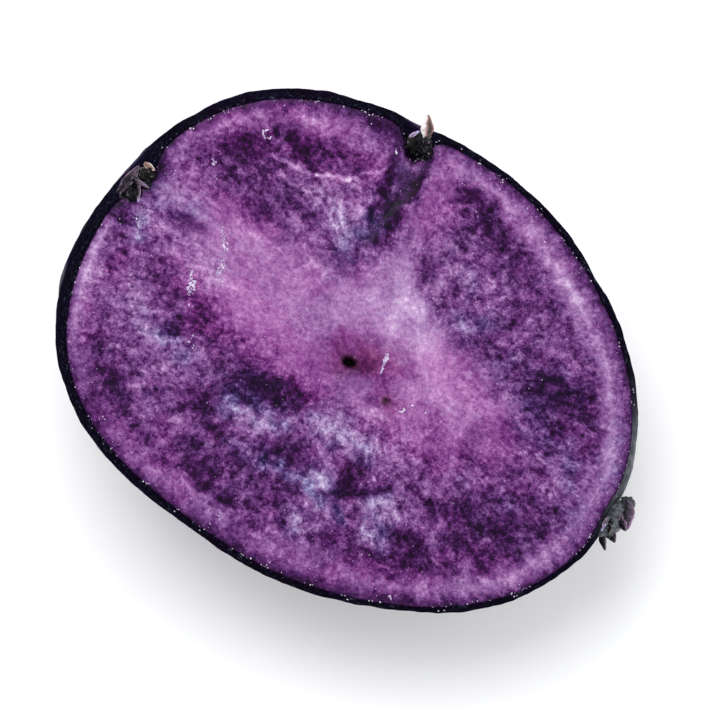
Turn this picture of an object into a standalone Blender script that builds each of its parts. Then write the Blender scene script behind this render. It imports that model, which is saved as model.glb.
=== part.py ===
"""Half of a purple potato, cut lengthways and lying on its back with the cut face up.

The tuber grew as one piece, so it is one solid: the flesh with its skin, the eyes pressed into that
skin, and the shoots that sprout from the three eyes on the edge of the cut.
The shape is worked out in the frame of the cut. U runs along the tuber towards the end where it hung
on the plant, V runs across it, and W points out of the cut. It is then leaned over and set down.
"""

import math

import bmesh
import bpy
import numpy as np
from mathutils import Matrix, Vector

MM = 0.001

# The cut face. Its edge is the smooth curve through one radius every 30 degrees, in mm, from +U towards +V.
EDGE_RADII = (46.5, 42.6, 38.0, 36.6, 39.2, 44.0, 44.7, 44.6, 38.2, 35.1, 37.1, 43.2)
# An eye on the edge pulls it in: (angle in degrees, depth in mm, half-width in degrees).
NOTCH = (105.0, 4.6, 3.6)
SIDE_EYE = (170.0, 2.3, 5.0)
STALK_SCAR = (0.0, 0.7, 4.5)
EDGE_EYES = (NOTCH, SIDE_EYE, STALK_SCAR)
EDGE_EYE_REACH = 7.0  # mm below the cut at which an edge eye has nearly faded away

# The back, below the cut. It hangs from the edge in round profiles that meet at the deepest point.
DEPTH = 36.0
DEEPEST_U, DEEPEST_V = -26.0, 13.0
DEEPEST_PULL = 4.0  # how late on its way down a profile turns towards the deepest point
PLUMPNESS = 0.8  # power of the profile's cosine: 1 is an ellipse, and less is fuller
FLARE_MEAN, FLARE_SWING, FLARE_SIDE = 15.0, 1.0, 190.0  # degrees at which the back swells past the edge

# Broad lumps of the skin: (height in mm, waves per mm along U, V and W, phase).
LUMPS = ((0.7, 0.090, 0.110, 0.040, 0.6), (0.3, 0.150, -0.120, 0.120, 2.1), (0.2, -0.070, 0.230, 0.190, 4.0))
LUMPS_START = 0.3  # share of the way down at which they reach their full height

# Eyes on the back follow a spiral: each is a golden angle further round and a step further down.
SPIRAL_STEPS = 15
GOLDEN_ANGLE = 137.508
FIRST_EYE_ANGLE = 50.0
EYE_HIGHEST, EYE_LOWEST = 0.16, 0.86  # shares of the way from the edge to the deepest point
EYE_SIZES = (1.05, 0.8, 0.9, 1.0, 0.75, 0.85, 0.95)
EYE_DEPTH, EYE_LENGTH, EYE_WIDTH = 1.7, 3.2, 2.1
BROW_HEIGHT, BROW_LENGTH, BROW_WIDTH, BROW_AWAY, BROW_BEND = 0.7, 4.2, 1.5, 3.2, 0.07
# The stretch of skin that it lies on has no eyes and no lumps: its middle in U and V, and its radius.
LYING_U, LYING_V, LYING_RADIUS = 4.0, -1.0, 16.0

# Hollows in the cut face: (U, V, radius, depth) in mm. The first one is the open heart of the tuber.
PITS = ((-0.4, -0.6, 1.5, 2.2), (7.6, -2.9, 1.0, 0.8))
# The fold that runs in from the notch: where it starts and ends, and its width and depth at the notch.
FOLD_START, FOLD_END = (-9.0, 35.5), (-8.6, 13.0)
FOLD_WIDTH, FOLD_DEPTH = 2.8, 1.3

# A shoot is a round bud with pointed scales round it. A bud is (angle on the edge, how far its middle stands
# out from the edge, height of its middle above the cut, radius), and a scale is (turn, rise, length, width):
# turned from straight out of the edge, risen from the plane of the cut, and measured from the bud's middle.
NOTCH_BUD = (103.0, 0.6, -1.6, 2.3)
NOTCH_SCALES = ((24, 24, 6.4, 2.5), (-58, 20, 3.9, 2.4), (88, 14, 3.7, 2.2), (-12, -34, 4.4, 2.6))
SIDE_BUD = (171.0, 0.2, -1.0, 2.1)
SIDE_SCALES = ((74, 30, 4.4, 2.6), (-66, 26, 4.6, 2.8), (6, 34, 3.9, 2.4), (20, -26, 4.2, 2.6))
STALK_BUD = (-1.5, 0.6, -2.8, 2.4)
STALK_SCALES = ((-52, 2, 5.6, 2.8), (-8, -20, 5.0, 3.0), (40, 8, 4.6, 2.8), (10, 34, 3.8, 2.6))
SHOOTS = ((NOTCH_BUD, NOTCH_SCALES), (SIDE_BUD, SIDE_SCALES), (STALK_BUD, STALK_SCALES))
SCALE_PROFILE = ((0.0, 0.7), (0.35, 1.0), (0.62, 0.86), (0.85, 0.5), (1.0, 0.3))  # share of length, of width
SCALE_FLATNESS = 0.62  # thickness over width
SCALE_BEND = 0.16  # how far a tip curls back towards the cut, over its length
SCALE_SIDES = 7

# How it lies: leaned over by LEAN towards LEAN_TOWARDS, an angle from U, with the middle of the cut here.
LEAN, LEAN_TOWARDS = 10.5, -42.0
CUT_MIDDLE = Vector((-0.8, -1.55, 32.6))

ANGLE_STEPS = 136
PROFILE_STEPS = 29
SMALL_SIDES = 12  # sides of a pit
CUTTER_COLLAR = 1.0  # mm by which what cuts into the face stands above it
WELD = 0.02 * MM  # points closer than this become one
FACE_SLACK = 0.02  # mm above the cut up to which a face counts as lying in it

FLESH_COLOUR, FLESH_ROUGHNESS = (0.206, 0.076, 0.262, 1.0), 0.4
SKIN_COLOUR, SKIN_ROUGHNESS = (0.018, 0.012, 0.026, 1.0), 0.6


def edge_radius(angle):
    """The Fourier sum through EDGE_RADII: the edge before its eyes pull it in. Angles are in radians."""
    terms = np.fft.rfft(EDGE_RADII) / len(EDGE_RADII)
    terms[1:-1] *= 2
    waves = np.exp(1j * np.multiply.outer(angle, np.arange(len(terms))))
    return (waves @ terms).real


def edge_dip(angle, below=0.0):
    """How far the edge eyes pull the skin in, at an angle and a depth below the cut: a bell for each eye."""
    total = 0.0
    for at, deep, half_width in EDGE_EYES:
        off = (np.degrees(angle) - at + 180) % 360 - 180
        total = total + deep * np.exp(-((off / half_width) ** 2) - 2 * (below / EDGE_EYE_REACH) ** 2)
    return total


def smooth_back(angle, share):
    """The back with no eyes: share runs from 0 at the edge to 1 at the deepest point, along a profile."""
    flare = np.radians(FLARE_MEAN + FLARE_SWING * np.cos(angle - math.radians(FLARE_SIDE)))
    turn = share * (math.pi / 2 + flare) - flare
    reach = (np.cos(turn).clip(0) / np.cos(flare)) ** PLUMPNESS
    sink = (np.sin(turn) + np.sin(flare)) / (1 + np.sin(flare))
    below = DEPTH * sink
    radius = (edge_radius(angle) - edge_dip(angle, below)) * reach
    pull = sink**DEEPEST_PULL
    u = radius * np.cos(angle) + DEEPEST_U * pull
    v = radius * np.sin(angle) + DEEPEST_V * pull
    return np.stack([u, v, -below], axis=-1)


def lying_distance(points):
    """How far points are from the middle of the stretch that the half lies on, seen square to the cut."""
    return np.hypot(points[..., 0] - LYING_U, points[..., 1] - LYING_V)


def outward(points):
    """Unit vectors away from a core a third of the way down, which stand in for the skin's normals."""
    away = points - np.array([DEEPEST_U / 3, DEEPEST_V / 3, -DEPTH / 3])
    return away / np.linalg.norm(away, axis=-1, keepdims=True)


def lump_height(points, share):
    """A sum of broad sine waves, faded out underneath and at the edge, where the cut keeps its outline."""
    at_edge = np.clip(share / LUMPS_START, 0, 1) ** 2
    underneath = 1 - np.exp(-((lying_distance(points) / LYING_RADIUS) ** 2))
    waves = sum(h * np.sin(points @ np.array([a, b, c]) + phase) for h, a, b, c, phase in LUMPS)
    return at_edge * underneath * waves


def eye_places():
    """Each back eye as (angle in radians, share of the way down, size), but none where the half lies."""
    for i in range(SPIRAL_STEPS):
        angle = math.radians((FIRST_EYE_ANGLE + i * GOLDEN_ANGLE) % 360)
        share = EYE_HIGHEST + (EYE_LOWEST - EYE_HIGHEST) * math.sqrt(i / (SPIRAL_STEPS - 1))
        if lying_distance(smooth_back(angle, share)) > LYING_RADIUS:
            yield angle, share, EYE_SIZES[i % len(EYE_SIZES)]


def eye_height(points, angle, share, size):
    """An oval pit that lies across the tuber, with a curved brow on the side of the stalk end."""
    middle = smooth_back(angle, share)
    up = outward(middle)
    along = np.array([1.0, 0.0, 0.0]) - up * up[0]
    along /= np.linalg.norm(along)
    across = np.cross(up, along)
    offset = (points - middle) / size
    a, b = offset @ across, offset @ along
    near = np.exp(-((offset @ up / 6) ** 2))
    pit = EYE_DEPTH * np.exp(-((a / EYE_LENGTH) ** 2) - (b / EYE_WIDTH) ** 2)
    brow = BROW_HEIGHT * np.exp(
        -((a / BROW_LENGTH) ** 2) - ((b - BROW_AWAY + BROW_BEND * a**2) / BROW_WIDTH) ** 2
    )
    return size * near * (brow - pit)


def back(angle, share):
    """The back as it is, with lumps and eyes, in the frame of the cut, in mm."""
    points = smooth_back(angle, share)
    height = lump_height(points, share)
    for place in eye_places():
        height = height + eye_height(points, *place)
    return points + outward(points) * height[..., None]


def face_to_world():
    """Leans the frame of the cut over and moves it to CUT_MIDDLE. Millimetres in, metres out."""
    towards = math.radians(LEAN_TOWARDS)
    axis = Vector((-math.sin(towards), math.cos(towards), 0))
    return Matrix.Scale(MM, 4) @ Matrix.Translation(CUT_MIDDLE) @ Matrix.Rotation(math.radians(LEAN), 4, axis)


def circle(u, v, radius, w, sides=SMALL_SIDES):
    """The points of a level circle in the frame of the cut."""
    turns = [2 * math.pi * i / sides for i in range(sides)]
    return [(u + radius * math.cos(turn), v + radius * math.sin(turn), w) for turn in turns]


def skin_rings(bm, rings):
    """Skins neighbouring rings of as many vertices with quads, and closes both ends with a flat face."""
    for first, second in zip(rings, rings[1:]):
        for i in range(len(first)):
            j = (i + 1) % len(first)
            bm.faces.new((first[i], first[j], second[j], second[i]))
    bm.faces.new(rings[0])
    bm.faces.new(rings[-1])


def new_object(name, mesh_maker, *sizes):
    """Makes a mesh object from a bmesh that mesh_maker fills, to these sizes, in the frame of the cut."""
    bm = bmesh.new()
    mesh_maker(bm, *sizes)
    bmesh.ops.transform(bm, matrix=face_to_world(), verts=bm.verts)
    bmesh.ops.recalc_face_normals(bm, faces=bm.faces)
    mesh = bpy.data.meshes.new(name)
    bm.to_mesh(mesh)
    bm.free()
    obj = bpy.data.objects.new(name, mesh)
    bpy.context.scene.collection.objects.link(obj)
    return obj


def tuber_mesh(bm):
    """Rings from the edge of the cut, which is flat, down to a single vertex at the deepest point."""
    angles = np.linspace(0, 2 * math.pi, ANGLE_STEPS, endpoint=False)
    shares = np.linspace(0, 1, PROFILE_STEPS + 1)
    grid = back(angles[None, :], shares[:, None])
    skin_rings(bm, [[bm.verts.new(point) for point in ring] for ring in grid[:-1]])
    bmesh.ops.poke(bm, faces=bm.faces[-1:])
    bm.verts.ensure_lookup_table()
    bm.verts[-1].co = grid[-1, 0]


def weld(bm):
    """Splits the faces into triangles, and closes up edges and slivers that are too small to make."""
    bmesh.ops.triangulate(bm, faces=bm.faces, quad_method="BEAUTY", ngon_method="BEAUTY")
    bmesh.ops.remove_doubles(bm, verts=bm.verts, dist=WELD)
    bmesh.ops.dissolve_degenerate(bm, edges=bm.edges, dist=WELD)


def flatten_underneath(obj):
    """Cuts off what reaches below the surface it lies on and closes it again: the flat spot it rests on."""
    bm = bmesh.new()
    bm.from_mesh(obj.data)
    weld(bm)
    everything = bm.verts[:] + bm.edges[:] + bm.faces[:]
    up = (0, 0, 1)
    cut = bmesh.ops.bisect_plane(bm, geom=everything, plane_co=(0, 0, 0), plane_no=up, clear_inner=True)
    loop = [item for item in cut["geom_cut"] if isinstance(item, bmesh.types.BMEdge)]
    bmesh.ops.contextual_create(bm, geom=loop)
    weld(bm)
    for vert in bm.verts:
        if vert.co.z < WELD:
            vert.co.z = 0
    bmesh.ops.recalc_face_normals(bm, faces=bm.faces)
    bm.to_mesh(obj.data)
    bm.free()


def pit_mesh(bm):
    """A bowl for each pit: rings of a quarter circle squashed to the pit's depth, under a straight collar."""
    for u, v, radius, deep in PITS:
        rings = [[bm.verts.new(point) for point in circle(u, v, radius, CUTTER_COLLAR)]]
        for turn in (10, 35, 60):
            slope = math.radians(turn)
            ring = circle(u, v, radius * math.cos(slope), -deep * math.sin(slope))
            rings.append([bm.verts.new(point) for point in ring])
        skin_rings(bm, rings)


def fold_mesh(bm):
    """A wedge with its sharp edge down, as wide and deep as the fold at the notch, running out to a point."""
    start, end = Vector((*FOLD_START, 0)), Vector((*FOLD_END, CUTTER_COLLAR * 0.1))
    half = (end - start).cross(Vector((0, 0, 1))).normalized() * FOLD_WIDTH / 2
    collar = Vector((0, 0, CUTTER_COLLAR))
    widening = 1 + CUTTER_COLLAR / FOLD_DEPTH
    left = bm.verts.new(start - half * widening + collar)
    right = bm.verts.new(start + half * widening + collar)
    bottom = bm.verts.new(start - Vector((0, 0, FOLD_DEPTH)))
    tip = bm.verts.new(end)
    for corners in ((left, right, bottom), (left, right, tip), (left, bottom, tip), (right, bottom, tip)):
        bm.faces.new(corners)


def bud_mesh(bm, middle, radius):
    """A ball, sunk into the edge of the cut."""
    bmesh.ops.create_icosphere(bm, subdivisions=2, radius=radius, matrix=Matrix.Translation(middle))


def scale_mesh(bm, bud_middle, out_angle, turn, rise, length, width):
    """One pointed scale: flattened rings along a curved midrib, from inside the bud to a blunt tip."""
    way, lift = math.radians(out_angle + turn), math.radians(rise)
    along = Vector((math.cos(lift) * math.cos(way), math.cos(lift) * math.sin(way), math.sin(lift)))
    across = Vector((-math.sin(way), math.cos(way), 0))
    inner = along.cross(across)
    rings = []
    for t, wide in SCALE_PROFILE:
        middle = bud_middle + along * length * t - inner * length * SCALE_BEND * t**2
        ring = circle(0, 0, wide * width / 2, 0, SCALE_SIDES)
        rings.append([bm.verts.new(middle + across * x + inner * y * SCALE_FLATNESS) for x, y, _ in ring])
    skin_rings(bm, rings)


def shoot_pieces():
    """The closed pieces of all shoots: a bud for each, and the scales round it."""
    for (out_angle, stand_out, height, radius), scales in SHOOTS:
        out = math.radians(out_angle)
        reach = edge_radius(out) - edge_dip(out) + stand_out
        middle = Vector((reach * math.cos(out), reach * math.sin(out), height))
        yield new_object("bud", bud_mesh, middle, radius)
        for scale in scales:
            yield new_object("scale", scale_mesh, middle, out_angle, *scale)


def boolean(obj, operation, tools):
    """Cuts with the tools, or joins them on, in one Boolean on their collection, then removes them."""
    group = bpy.data.collections.new(f"{operation.lower()}_tools")
    bpy.context.scene.collection.children.link(group)
    for tool in tools:
        bpy.context.scene.collection.objects.unlink(tool)
        group.objects.link(tool)
    modifier = obj.modifiers.new(operation.lower(), "BOOLEAN")
    modifier.operation = operation
    modifier.operand_type = "COLLECTION"
    modifier.collection = group
    graph = bpy.context.evaluated_depsgraph_get()
    result = bpy.data.meshes.new_from_object(obj.evaluated_get(graph))
    obj.modifiers.remove(modifier)
    obj.data = result
    for tool in tools:
        bpy.data.objects.remove(tool)
    bpy.data.collections.remove(group)


def new_material(name, colour, roughness):
    """A plain Principled material in linear colour."""
    material = bpy.data.materials.new(name)
    material.use_nodes = True
    shader = material.node_tree.nodes["Principled BSDF"]
    shader.inputs["Base Color"].default_value = colour
    shader.inputs["Roughness"].default_value = roughness
    shader.inputs["Metallic"].default_value = 0.0
    return material


def colour_flesh_and_skin(obj):
    """Skin all over, and flesh on the faces inside the edge that lie in the cut, its pits and its fold."""
    obj.data.materials.clear()
    obj.data.materials.append(new_material("potato_skin", SKIN_COLOUR, SKIN_ROUGHNESS))
    obj.data.materials.append(new_material("cut_flesh", FLESH_COLOUR, FLESH_ROUGHNESS))
    back_to_face = face_to_world().inverted()
    deepest_pit = max(deep for _, _, _, deep in PITS)
    for polygon in obj.data.polygons:
        u, v, w = back_to_face @ polygon.center
        angle = math.atan2(v, u)
        inside = math.hypot(u, v) < edge_radius(angle) - edge_dip(angle)
        polygon.material_index = int(inside and -deepest_pit < w < FACE_SLACK)


def main():
    for obj in list(bpy.data.objects):
        bpy.data.objects.remove(obj)
    potato = new_object("purple_potato_half", tuber_mesh)
    boolean(potato, "DIFFERENCE", [new_object("pits", pit_mesh), new_object("fold", fold_mesh)])
    boolean(potato, "UNION", list(shoot_pieces()))
    flatten_underneath(potato)
    colour_flesh_and_skin(potato)
    potato.data.shade_smooth()
    potato.data.set_sharp_from_angle(angle=math.radians(40))


main()
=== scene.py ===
# %% [markdown]
# # Half of a purple potato
#
# This lesson dresses a solid model of a potato that was cut lengthways and laid on its back. The solid
# gives the size, the outline and the place. Here it gets its looks: marbled violet flesh, a dark corky
# skin with eyes, and the little shoots that sprout at the edge of the cut. Every surface is worked out
# as whole numpy arrays from short formulas, and every colour comes from nodes.

# %% Load the solid model as a fixed frame
import math

import bpy
import numpy as np
from mathutils import Matrix, Vector


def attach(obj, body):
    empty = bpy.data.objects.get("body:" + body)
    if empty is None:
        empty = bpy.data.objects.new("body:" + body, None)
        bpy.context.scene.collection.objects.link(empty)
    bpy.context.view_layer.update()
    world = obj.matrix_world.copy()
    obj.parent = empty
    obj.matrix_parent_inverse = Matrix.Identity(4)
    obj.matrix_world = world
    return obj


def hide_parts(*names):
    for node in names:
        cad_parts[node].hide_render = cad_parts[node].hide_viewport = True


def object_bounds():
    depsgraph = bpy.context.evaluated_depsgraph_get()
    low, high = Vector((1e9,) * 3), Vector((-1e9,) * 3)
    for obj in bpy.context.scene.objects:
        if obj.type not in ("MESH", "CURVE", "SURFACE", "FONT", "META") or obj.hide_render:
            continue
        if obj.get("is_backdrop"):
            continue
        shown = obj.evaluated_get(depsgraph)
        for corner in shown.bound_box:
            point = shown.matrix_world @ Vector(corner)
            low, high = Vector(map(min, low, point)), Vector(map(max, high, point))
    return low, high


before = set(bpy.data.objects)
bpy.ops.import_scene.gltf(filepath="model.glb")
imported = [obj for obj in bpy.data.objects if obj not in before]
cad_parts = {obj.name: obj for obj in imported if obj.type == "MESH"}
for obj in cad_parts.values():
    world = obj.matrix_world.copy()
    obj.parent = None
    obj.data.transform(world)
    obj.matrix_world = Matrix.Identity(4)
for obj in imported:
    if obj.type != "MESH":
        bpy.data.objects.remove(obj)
cad_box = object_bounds()
MM = 0.001
print("solid model:", [round(side / MM, 1) for side in cad_box[1] - cad_box[0]], "mm")

# %% [markdown]
# ## The frame of the cut
#
# A cut potato is easiest to describe as seen square to its cut: U along the tuber towards the end that
# hung on the plant, V across it, and W out of the cut, all in millimetres. One turn and one shift then
# set the half down the way it lies, leaning by 10.5 degrees on its round back. All pieces below are made
# in that frame and sent through the same function, so they fit each other without any placing.

# %% From the frame of the cut to the world
LEAN, LEAN_TOWARDS = math.radians(10.5), math.radians(-42.0)
CUT_MIDDLE = np.array([-0.8, -1.55, 32.6])  # mm
LEAN_AXIS = Vector((-math.sin(LEAN_TOWARDS), math.cos(LEAN_TOWARDS), 0))
TURN = np.array(Matrix.Rotation(LEAN, 3, LEAN_AXIS))


def to_world(points):
    """Turns points by the lean and shifts them to the middle of the cut: millimetres in, metres out."""
    return (points @ TURN.T + CUT_MIDDLE) * MM


print("the cut faces", TURN[:, 2].round(3))

# %% [markdown]
# ## The edge of the cut
#
# The outline is an egg that is a little flattened at its lower side, with a deep notch where an eye sat
# on the cutting line. It could be drawn as a spline by hand. A Fourier sum through twelve radii is just
# as short, has no kinks and gives a radius for any angle, and each eye on the edge then pulls it in
# with a bell curve.

# %% Outline of the cut
EDGE_RADII = (46.5, 42.6, 38.0, 36.6, 39.2, 44.0, 44.7, 44.6, 38.2, 35.1, 37.1, 43.2)
EDGE_EYES = ((105.0, 4.6, 3.6), (170.0, 2.3, 5.0), (0.0, 0.7, 4.5))  # degrees, depth in mm, half-width
EDGE_EYE_REACH = 7.0  # mm below the cut at which an edge eye has nearly faded away


def wave_sum(values, angle):
    """The Fourier sum through values that stand at even steps round the circle, read at these angles."""
    terms = np.fft.rfft(values) / len(values)
    terms[1:-1] *= 2
    waves = np.exp(1j * np.multiply.outer(angle, np.arange(len(terms))))
    return (waves @ terms).real


def full_turn(steps):
    """Angles at even steps round the circle, in radians."""
    return np.linspace(0, 2 * math.pi, steps, endpoint=False)


def turned_from(angle, degrees):
    """How many degrees angles, in radians, lie past a direction in degrees, from -180 to 180."""
    return (np.degrees(angle) - degrees + 180) % 360 - 180


def edge_dip(angle, below=0.0):
    """Sum of a bell for each edge eye: depth * exp(-(degrees off / half-width)^2 - 2 (below / reach)^2)."""
    total = 0.0
    for at, deep, half_width in EDGE_EYES:
        off = turned_from(angle, at)
        total = total + deep * np.exp(-((off / half_width) ** 2) - 2 * (below / EDGE_EYE_REACH) ** 2)
    return total


ROUND = 640  # steps round the edge, about 0.4 mm each
angles = full_turn(ROUND)
edge = wave_sum(EDGE_RADII, angles) - edge_dip(angles)
cut_size = [round(np.ptp(edge * np.cos(angles)), 1), round(np.ptp(edge * np.sin(angles)), 1)]
print("the cut is", cut_size, "mm")

# %% [markdown]
# ## The round back
#
# Below the cut the tuber first swells a little past the edge and then closes in round profiles that
# meet at the deepest point. A scaled sphere would do for a step away, but its middle would be its
# deepest point, and this tuber is deepest near its bud end. So each profile is the cosine and the sine
# of one turning angle, and the whole profile is pulled sideways on its way down.

# %% Profiles of the back
DEPTH, DEEPEST_U, DEEPEST_V = 36.0, -26.0, 13.0  # mm
DEEPEST_PULL, TAPER = 4.0, 0.8  # powers: a higher pull sets in later, a higher taper makes a slimmer back
FLARE_MEAN, FLARE_SWING, FLARE_SIDE = 15.0, 1.0, 190.0  # degrees at which it swells past the edge
CORE = np.array([DEEPEST_U, DEEPEST_V, -DEPTH]) / 3


def smooth_back(angle, share):
    """Radius is edge * cos(turn)^taper and depth goes as sin(turn), while turn runs from -flare to 90."""
    flare = np.radians(FLARE_MEAN + FLARE_SWING * np.cos(angle - math.radians(FLARE_SIDE)))
    turn = share * (math.pi / 2 + flare) - flare
    reach = (np.cos(turn).clip(0) / np.cos(flare)) ** TAPER
    sink = (np.sin(turn) + np.sin(flare)) / (1 + np.sin(flare))
    radius = (wave_sum(EDGE_RADII, angle) - edge_dip(angle, DEPTH * sink)) * reach
    pull = sink**DEEPEST_PULL
    u = radius * np.cos(angle) + DEEPEST_U * pull
    v = radius * np.sin(angle) + DEEPEST_V * pull
    return np.stack([u, v, -DEPTH * sink], axis=-1)


def outward(points):
    """Unit vectors away from a core a third of the way down, which stand in for the skin's normals."""
    away = points - CORE
    return away / np.linalg.norm(away, axis=-1, keepdims=True)


print("the deepest point is", smooth_back(np.zeros(1), np.ones(1))[0].round(1), "mm")

# %% [markdown]
# ## Lumps and eyes
#
# Eyes follow the same spiral as leaves on a stem, because a tuber is a swollen stem: each one is a
# golden angle further round and a step further along. Each eye is an oval pit with a curved brow, which
# is the scar of a scale leaf. Broad lumps come from three sine waves. Where the half lies on the table
# the lumps fade out and no eye is placed, so that it keeps its resting spot.

# %% Lumps on the back
LUMPS = ((0.7, 0.090, 0.110, 0.040, 0.6), (0.3, 0.150, -0.120, 0.120, 2.1), (0.2, -0.070, 0.230, 0.190, 4.0))
LUMPS_START = 0.3  # share of the way down at which they reach their full height
LYING_U, LYING_V, LYING_RADIUS = 4.0, -1.0, 16.0  # mm: the stretch that the half lies on


def bell(x):
    """exp(-x^2), which is 1 in the middle, 0.37 at 1 on either side, and nearly 0 at 2."""
    return np.exp(-(x**2))


def lying_distance(points):
    """Distance from the middle of the stretch that the half lies on, seen square to the cut."""
    return np.hypot(points[..., 0] - LYING_U, points[..., 1] - LYING_V)


def lump_height(points, share):
    """A sum of height * sin(wave . point + phase), faded out at the edge of the cut and underneath."""
    at_edge = np.clip(share / LUMPS_START, 0, 1) ** 2
    underneath = 1 - bell(lying_distance(points) / LYING_RADIUS)
    waves = sum(h * np.sin(points @ np.array([a, b, c]) + phase) for h, a, b, c, phase in LUMPS)
    return at_edge * underneath * waves


print("the lumps are up to", round(sum(lump[0] for lump in LUMPS), 1), "mm high")

# %% Eyes on the back
SPIRAL_STEPS, GOLDEN_ANGLE, FIRST_EYE_ANGLE = 15, 137.508, 50.0
EYE_HIGHEST, EYE_LOWEST = 0.16, 0.86  # shares of the way down
EYE_SIZES = (1.05, 0.8, 0.9, 1.0, 0.75, 0.85, 0.95)
EYE_DEPTH, EYE_LENGTH, EYE_WIDTH = 1.7, 3.2, 2.1  # mm for an eye of size 1, as for its brow and its bud
BROW_HEIGHT, BROW_LENGTH, BROW_WIDTH, BROW_AWAY, BROW_BEND = 0.7, 4.2, 1.5, 3.2, 0.07
BROW_FADES = 0.35  # share of the way down above which a brow is lower
BUD_HEIGHT, BUD_RADIUS, BUD_BELOW = 0.75, 0.8, 0.2  # the sleeping bud in each eye, a little below its middle
EYE_REACH = 6.0  # mm above and below the smooth back within which an eye has its effect


def eye_places():
    """Each eye of the back as (angle, share of the way down, size), but none where the half lies."""
    for i in range(SPIRAL_STEPS):
        angle = math.radians((FIRST_EYE_ANGLE + i * GOLDEN_ANGLE) % 360)
        share = EYE_HIGHEST + (EYE_LOWEST - EYE_HIGHEST) * math.sqrt(i / (SPIRAL_STEPS - 1))
        if lying_distance(smooth_back(angle, share)) > LYING_RADIUS:
            yield angle, share, EYE_SIZES[i % len(EYE_SIZES)]


def eye_parts(points, angle, share, size):
    """Height of one eye, which is brow - pit + bud, and how deep in its hollow each point lies, 0 to 1."""
    middle = smooth_back(angle, share)
    up = outward(middle)
    along = np.array([1.0, 0.0, 0.0]) - up * up[0]
    along /= np.linalg.norm(along)
    offset = (points - middle) / size
    a, b = offset @ np.cross(up, along), offset @ along
    near = bell(offset @ up / EYE_REACH)
    pit = near * np.exp(-((a / EYE_LENGTH) ** 2) - (b / EYE_WIDTH) ** 2)
    brow = near * np.exp(-((a / BROW_LENGTH) ** 2) - ((b - BROW_AWAY + BROW_BEND * a**2) / BROW_WIDTH) ** 2)
    bud = near * np.exp(-((a**2 + (b + BUD_BELOW) ** 2) / BUD_RADIUS**2))
    brow = brow * min(1.0, share / BROW_FADES) ** 2
    return size * (BROW_HEIGHT * brow - EYE_DEPTH * pit + BUD_HEIGHT * bud), pit


print(len(list(eye_places())), "eyes on the back")

# %% [markdown]
# ## Noise as an array
#
# Grown things never repeat, so most formulas below are shaken a little. Blender's noise textures only
# work in shaders. For shapes and for painted attributes a few lines of value noise are enough: random
# heights on a lattice, blended smoothly between its points.

# %% Value noise
def blend_in(x):
    """3 x^2 - 2 x^3, which rises from 0 to 1 and is level at both ends."""
    return x * x * (3 - 2 * x)


def soft_noise(a, b, seed):
    """Smooth random values from -1 to 1 that change over a step of 1 in a and in b."""
    heights = np.random.default_rng(seed).uniform(-1, 1, (256, 256))
    i, j = np.floor(a).astype(int), np.floor(b).astype(int)
    x, y = blend_in(a - i), blend_in(b - j)
    i, j, k, m = i % 256, j % 256, (i + 1) % 256, (j + 1) % 256
    near_side = heights[i, j] * (1 - x) + heights[k, j] * x
    far_side = heights[i, m] * (1 - x) + heights[k, m] * x
    return near_side * (1 - y) + far_side * y


def noise_sum(a, b, layers):
    """The sum of height * noise over layers, each (height, its step along a, its step along b, seed)."""
    return sum(height * soft_noise(a / step_a, b / step_b, seed) for height, step_a, step_b, seed in layers)


print("noise half a step apart", soft_noise(np.array([0.0, 0.5, 1.0]), np.zeros(3), 1).round(2))

# %% [markdown]
# ## From rings of points to a mesh
#
# Every piece here is a stack of rings, each with the same number of points, and closed by one point at
# either end. Flesh, skin, buds and scales can all share one function that joins ring to ring. It also
# measures the enclosed volume, and turns the faces round if that comes out negative, which is a simple
# way to be sure that they all point outwards.

# %% Rings to a closed mesh
def ring_faces(rows, columns, start=0):
    """Four corners for each face between neighbouring rings, and a fan of triangles round each end point."""
    index = start + 1 + np.arange(rows * columns).reshape(rows, columns)
    beside = np.roll(index, -1, axis=1)
    quads = np.stack([index[:-1], index[1:], beside[1:], beside[:-1]], axis=-1).reshape(-1, 4)
    last = start + 1 + rows * columns
    first_fan = np.stack([np.full(columns, start), index[0], beside[0]], axis=-1)
    last_fan = np.stack([np.full(columns, last), beside[-1], index[-1]], axis=-1)
    return quads, np.concatenate([first_fan, last_fan])


def enclosed_volume(points, quads, fans):
    """The signed volume under all faces: a sixth of the sum of p . (q x r) over the triangles."""
    corners = points[np.concatenate([quads[:, [0, 1, 2]], quads[:, [0, 2, 3]], fans])]
    return np.einsum("ij,ij->i", corners[:, 0], np.cross(corners[:, 1], corners[:, 2])).sum() / 6


def new_piece(name, shells, painted):
    """Makes one mesh object from closed shells, each (first point, rings, last point), in world metres.

    painted maps an attribute's name to its values, one array for each shell in the order of its points.
    """
    points, faces = [], []
    for first, rings, last in shells:
        start = sum(len(part) for part in points)
        quads, fans = ring_faces(rings.shape[0], rings.shape[1], start)
        part = np.concatenate([[first], rings.reshape(-1, 3), [last]])
        if enclosed_volume(part, quads - start, fans - start) < 0:
            quads, fans = quads[:, ::-1], fans[:, ::-1]
        points.append(part)
        faces += quads.tolist() + fans.tolist()
    mesh = bpy.data.meshes.new(name)
    mesh.from_pydata(np.concatenate(points).tolist(), [], faces)
    for title, values in painted.items():
        values = np.concatenate(values).astype(np.float32)
        kind = "FLOAT_VECTOR" if values.ndim == 2 else "FLOAT"
        attribute = mesh.attributes.new(title, kind, "POINT")
        attribute.data.foreach_set("vector" if values.ndim == 2 else "value", values.ravel())
    mesh.shade_smooth()
    piece = bpy.data.objects.new(name, mesh)
    bpy.context.scene.collection.objects.link(piece)
    triangles = sum(len(polygon.vertices) - 2 for polygon in mesh.polygons)
    print(f"{name}: {len(mesh.vertices)} points, {triangles} triangles, {len(shells)} closed shells")
    return piece


print(len(ring_faces(3, 8)[0]), "faces with four corners join 3 rings of 8 points")

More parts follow.
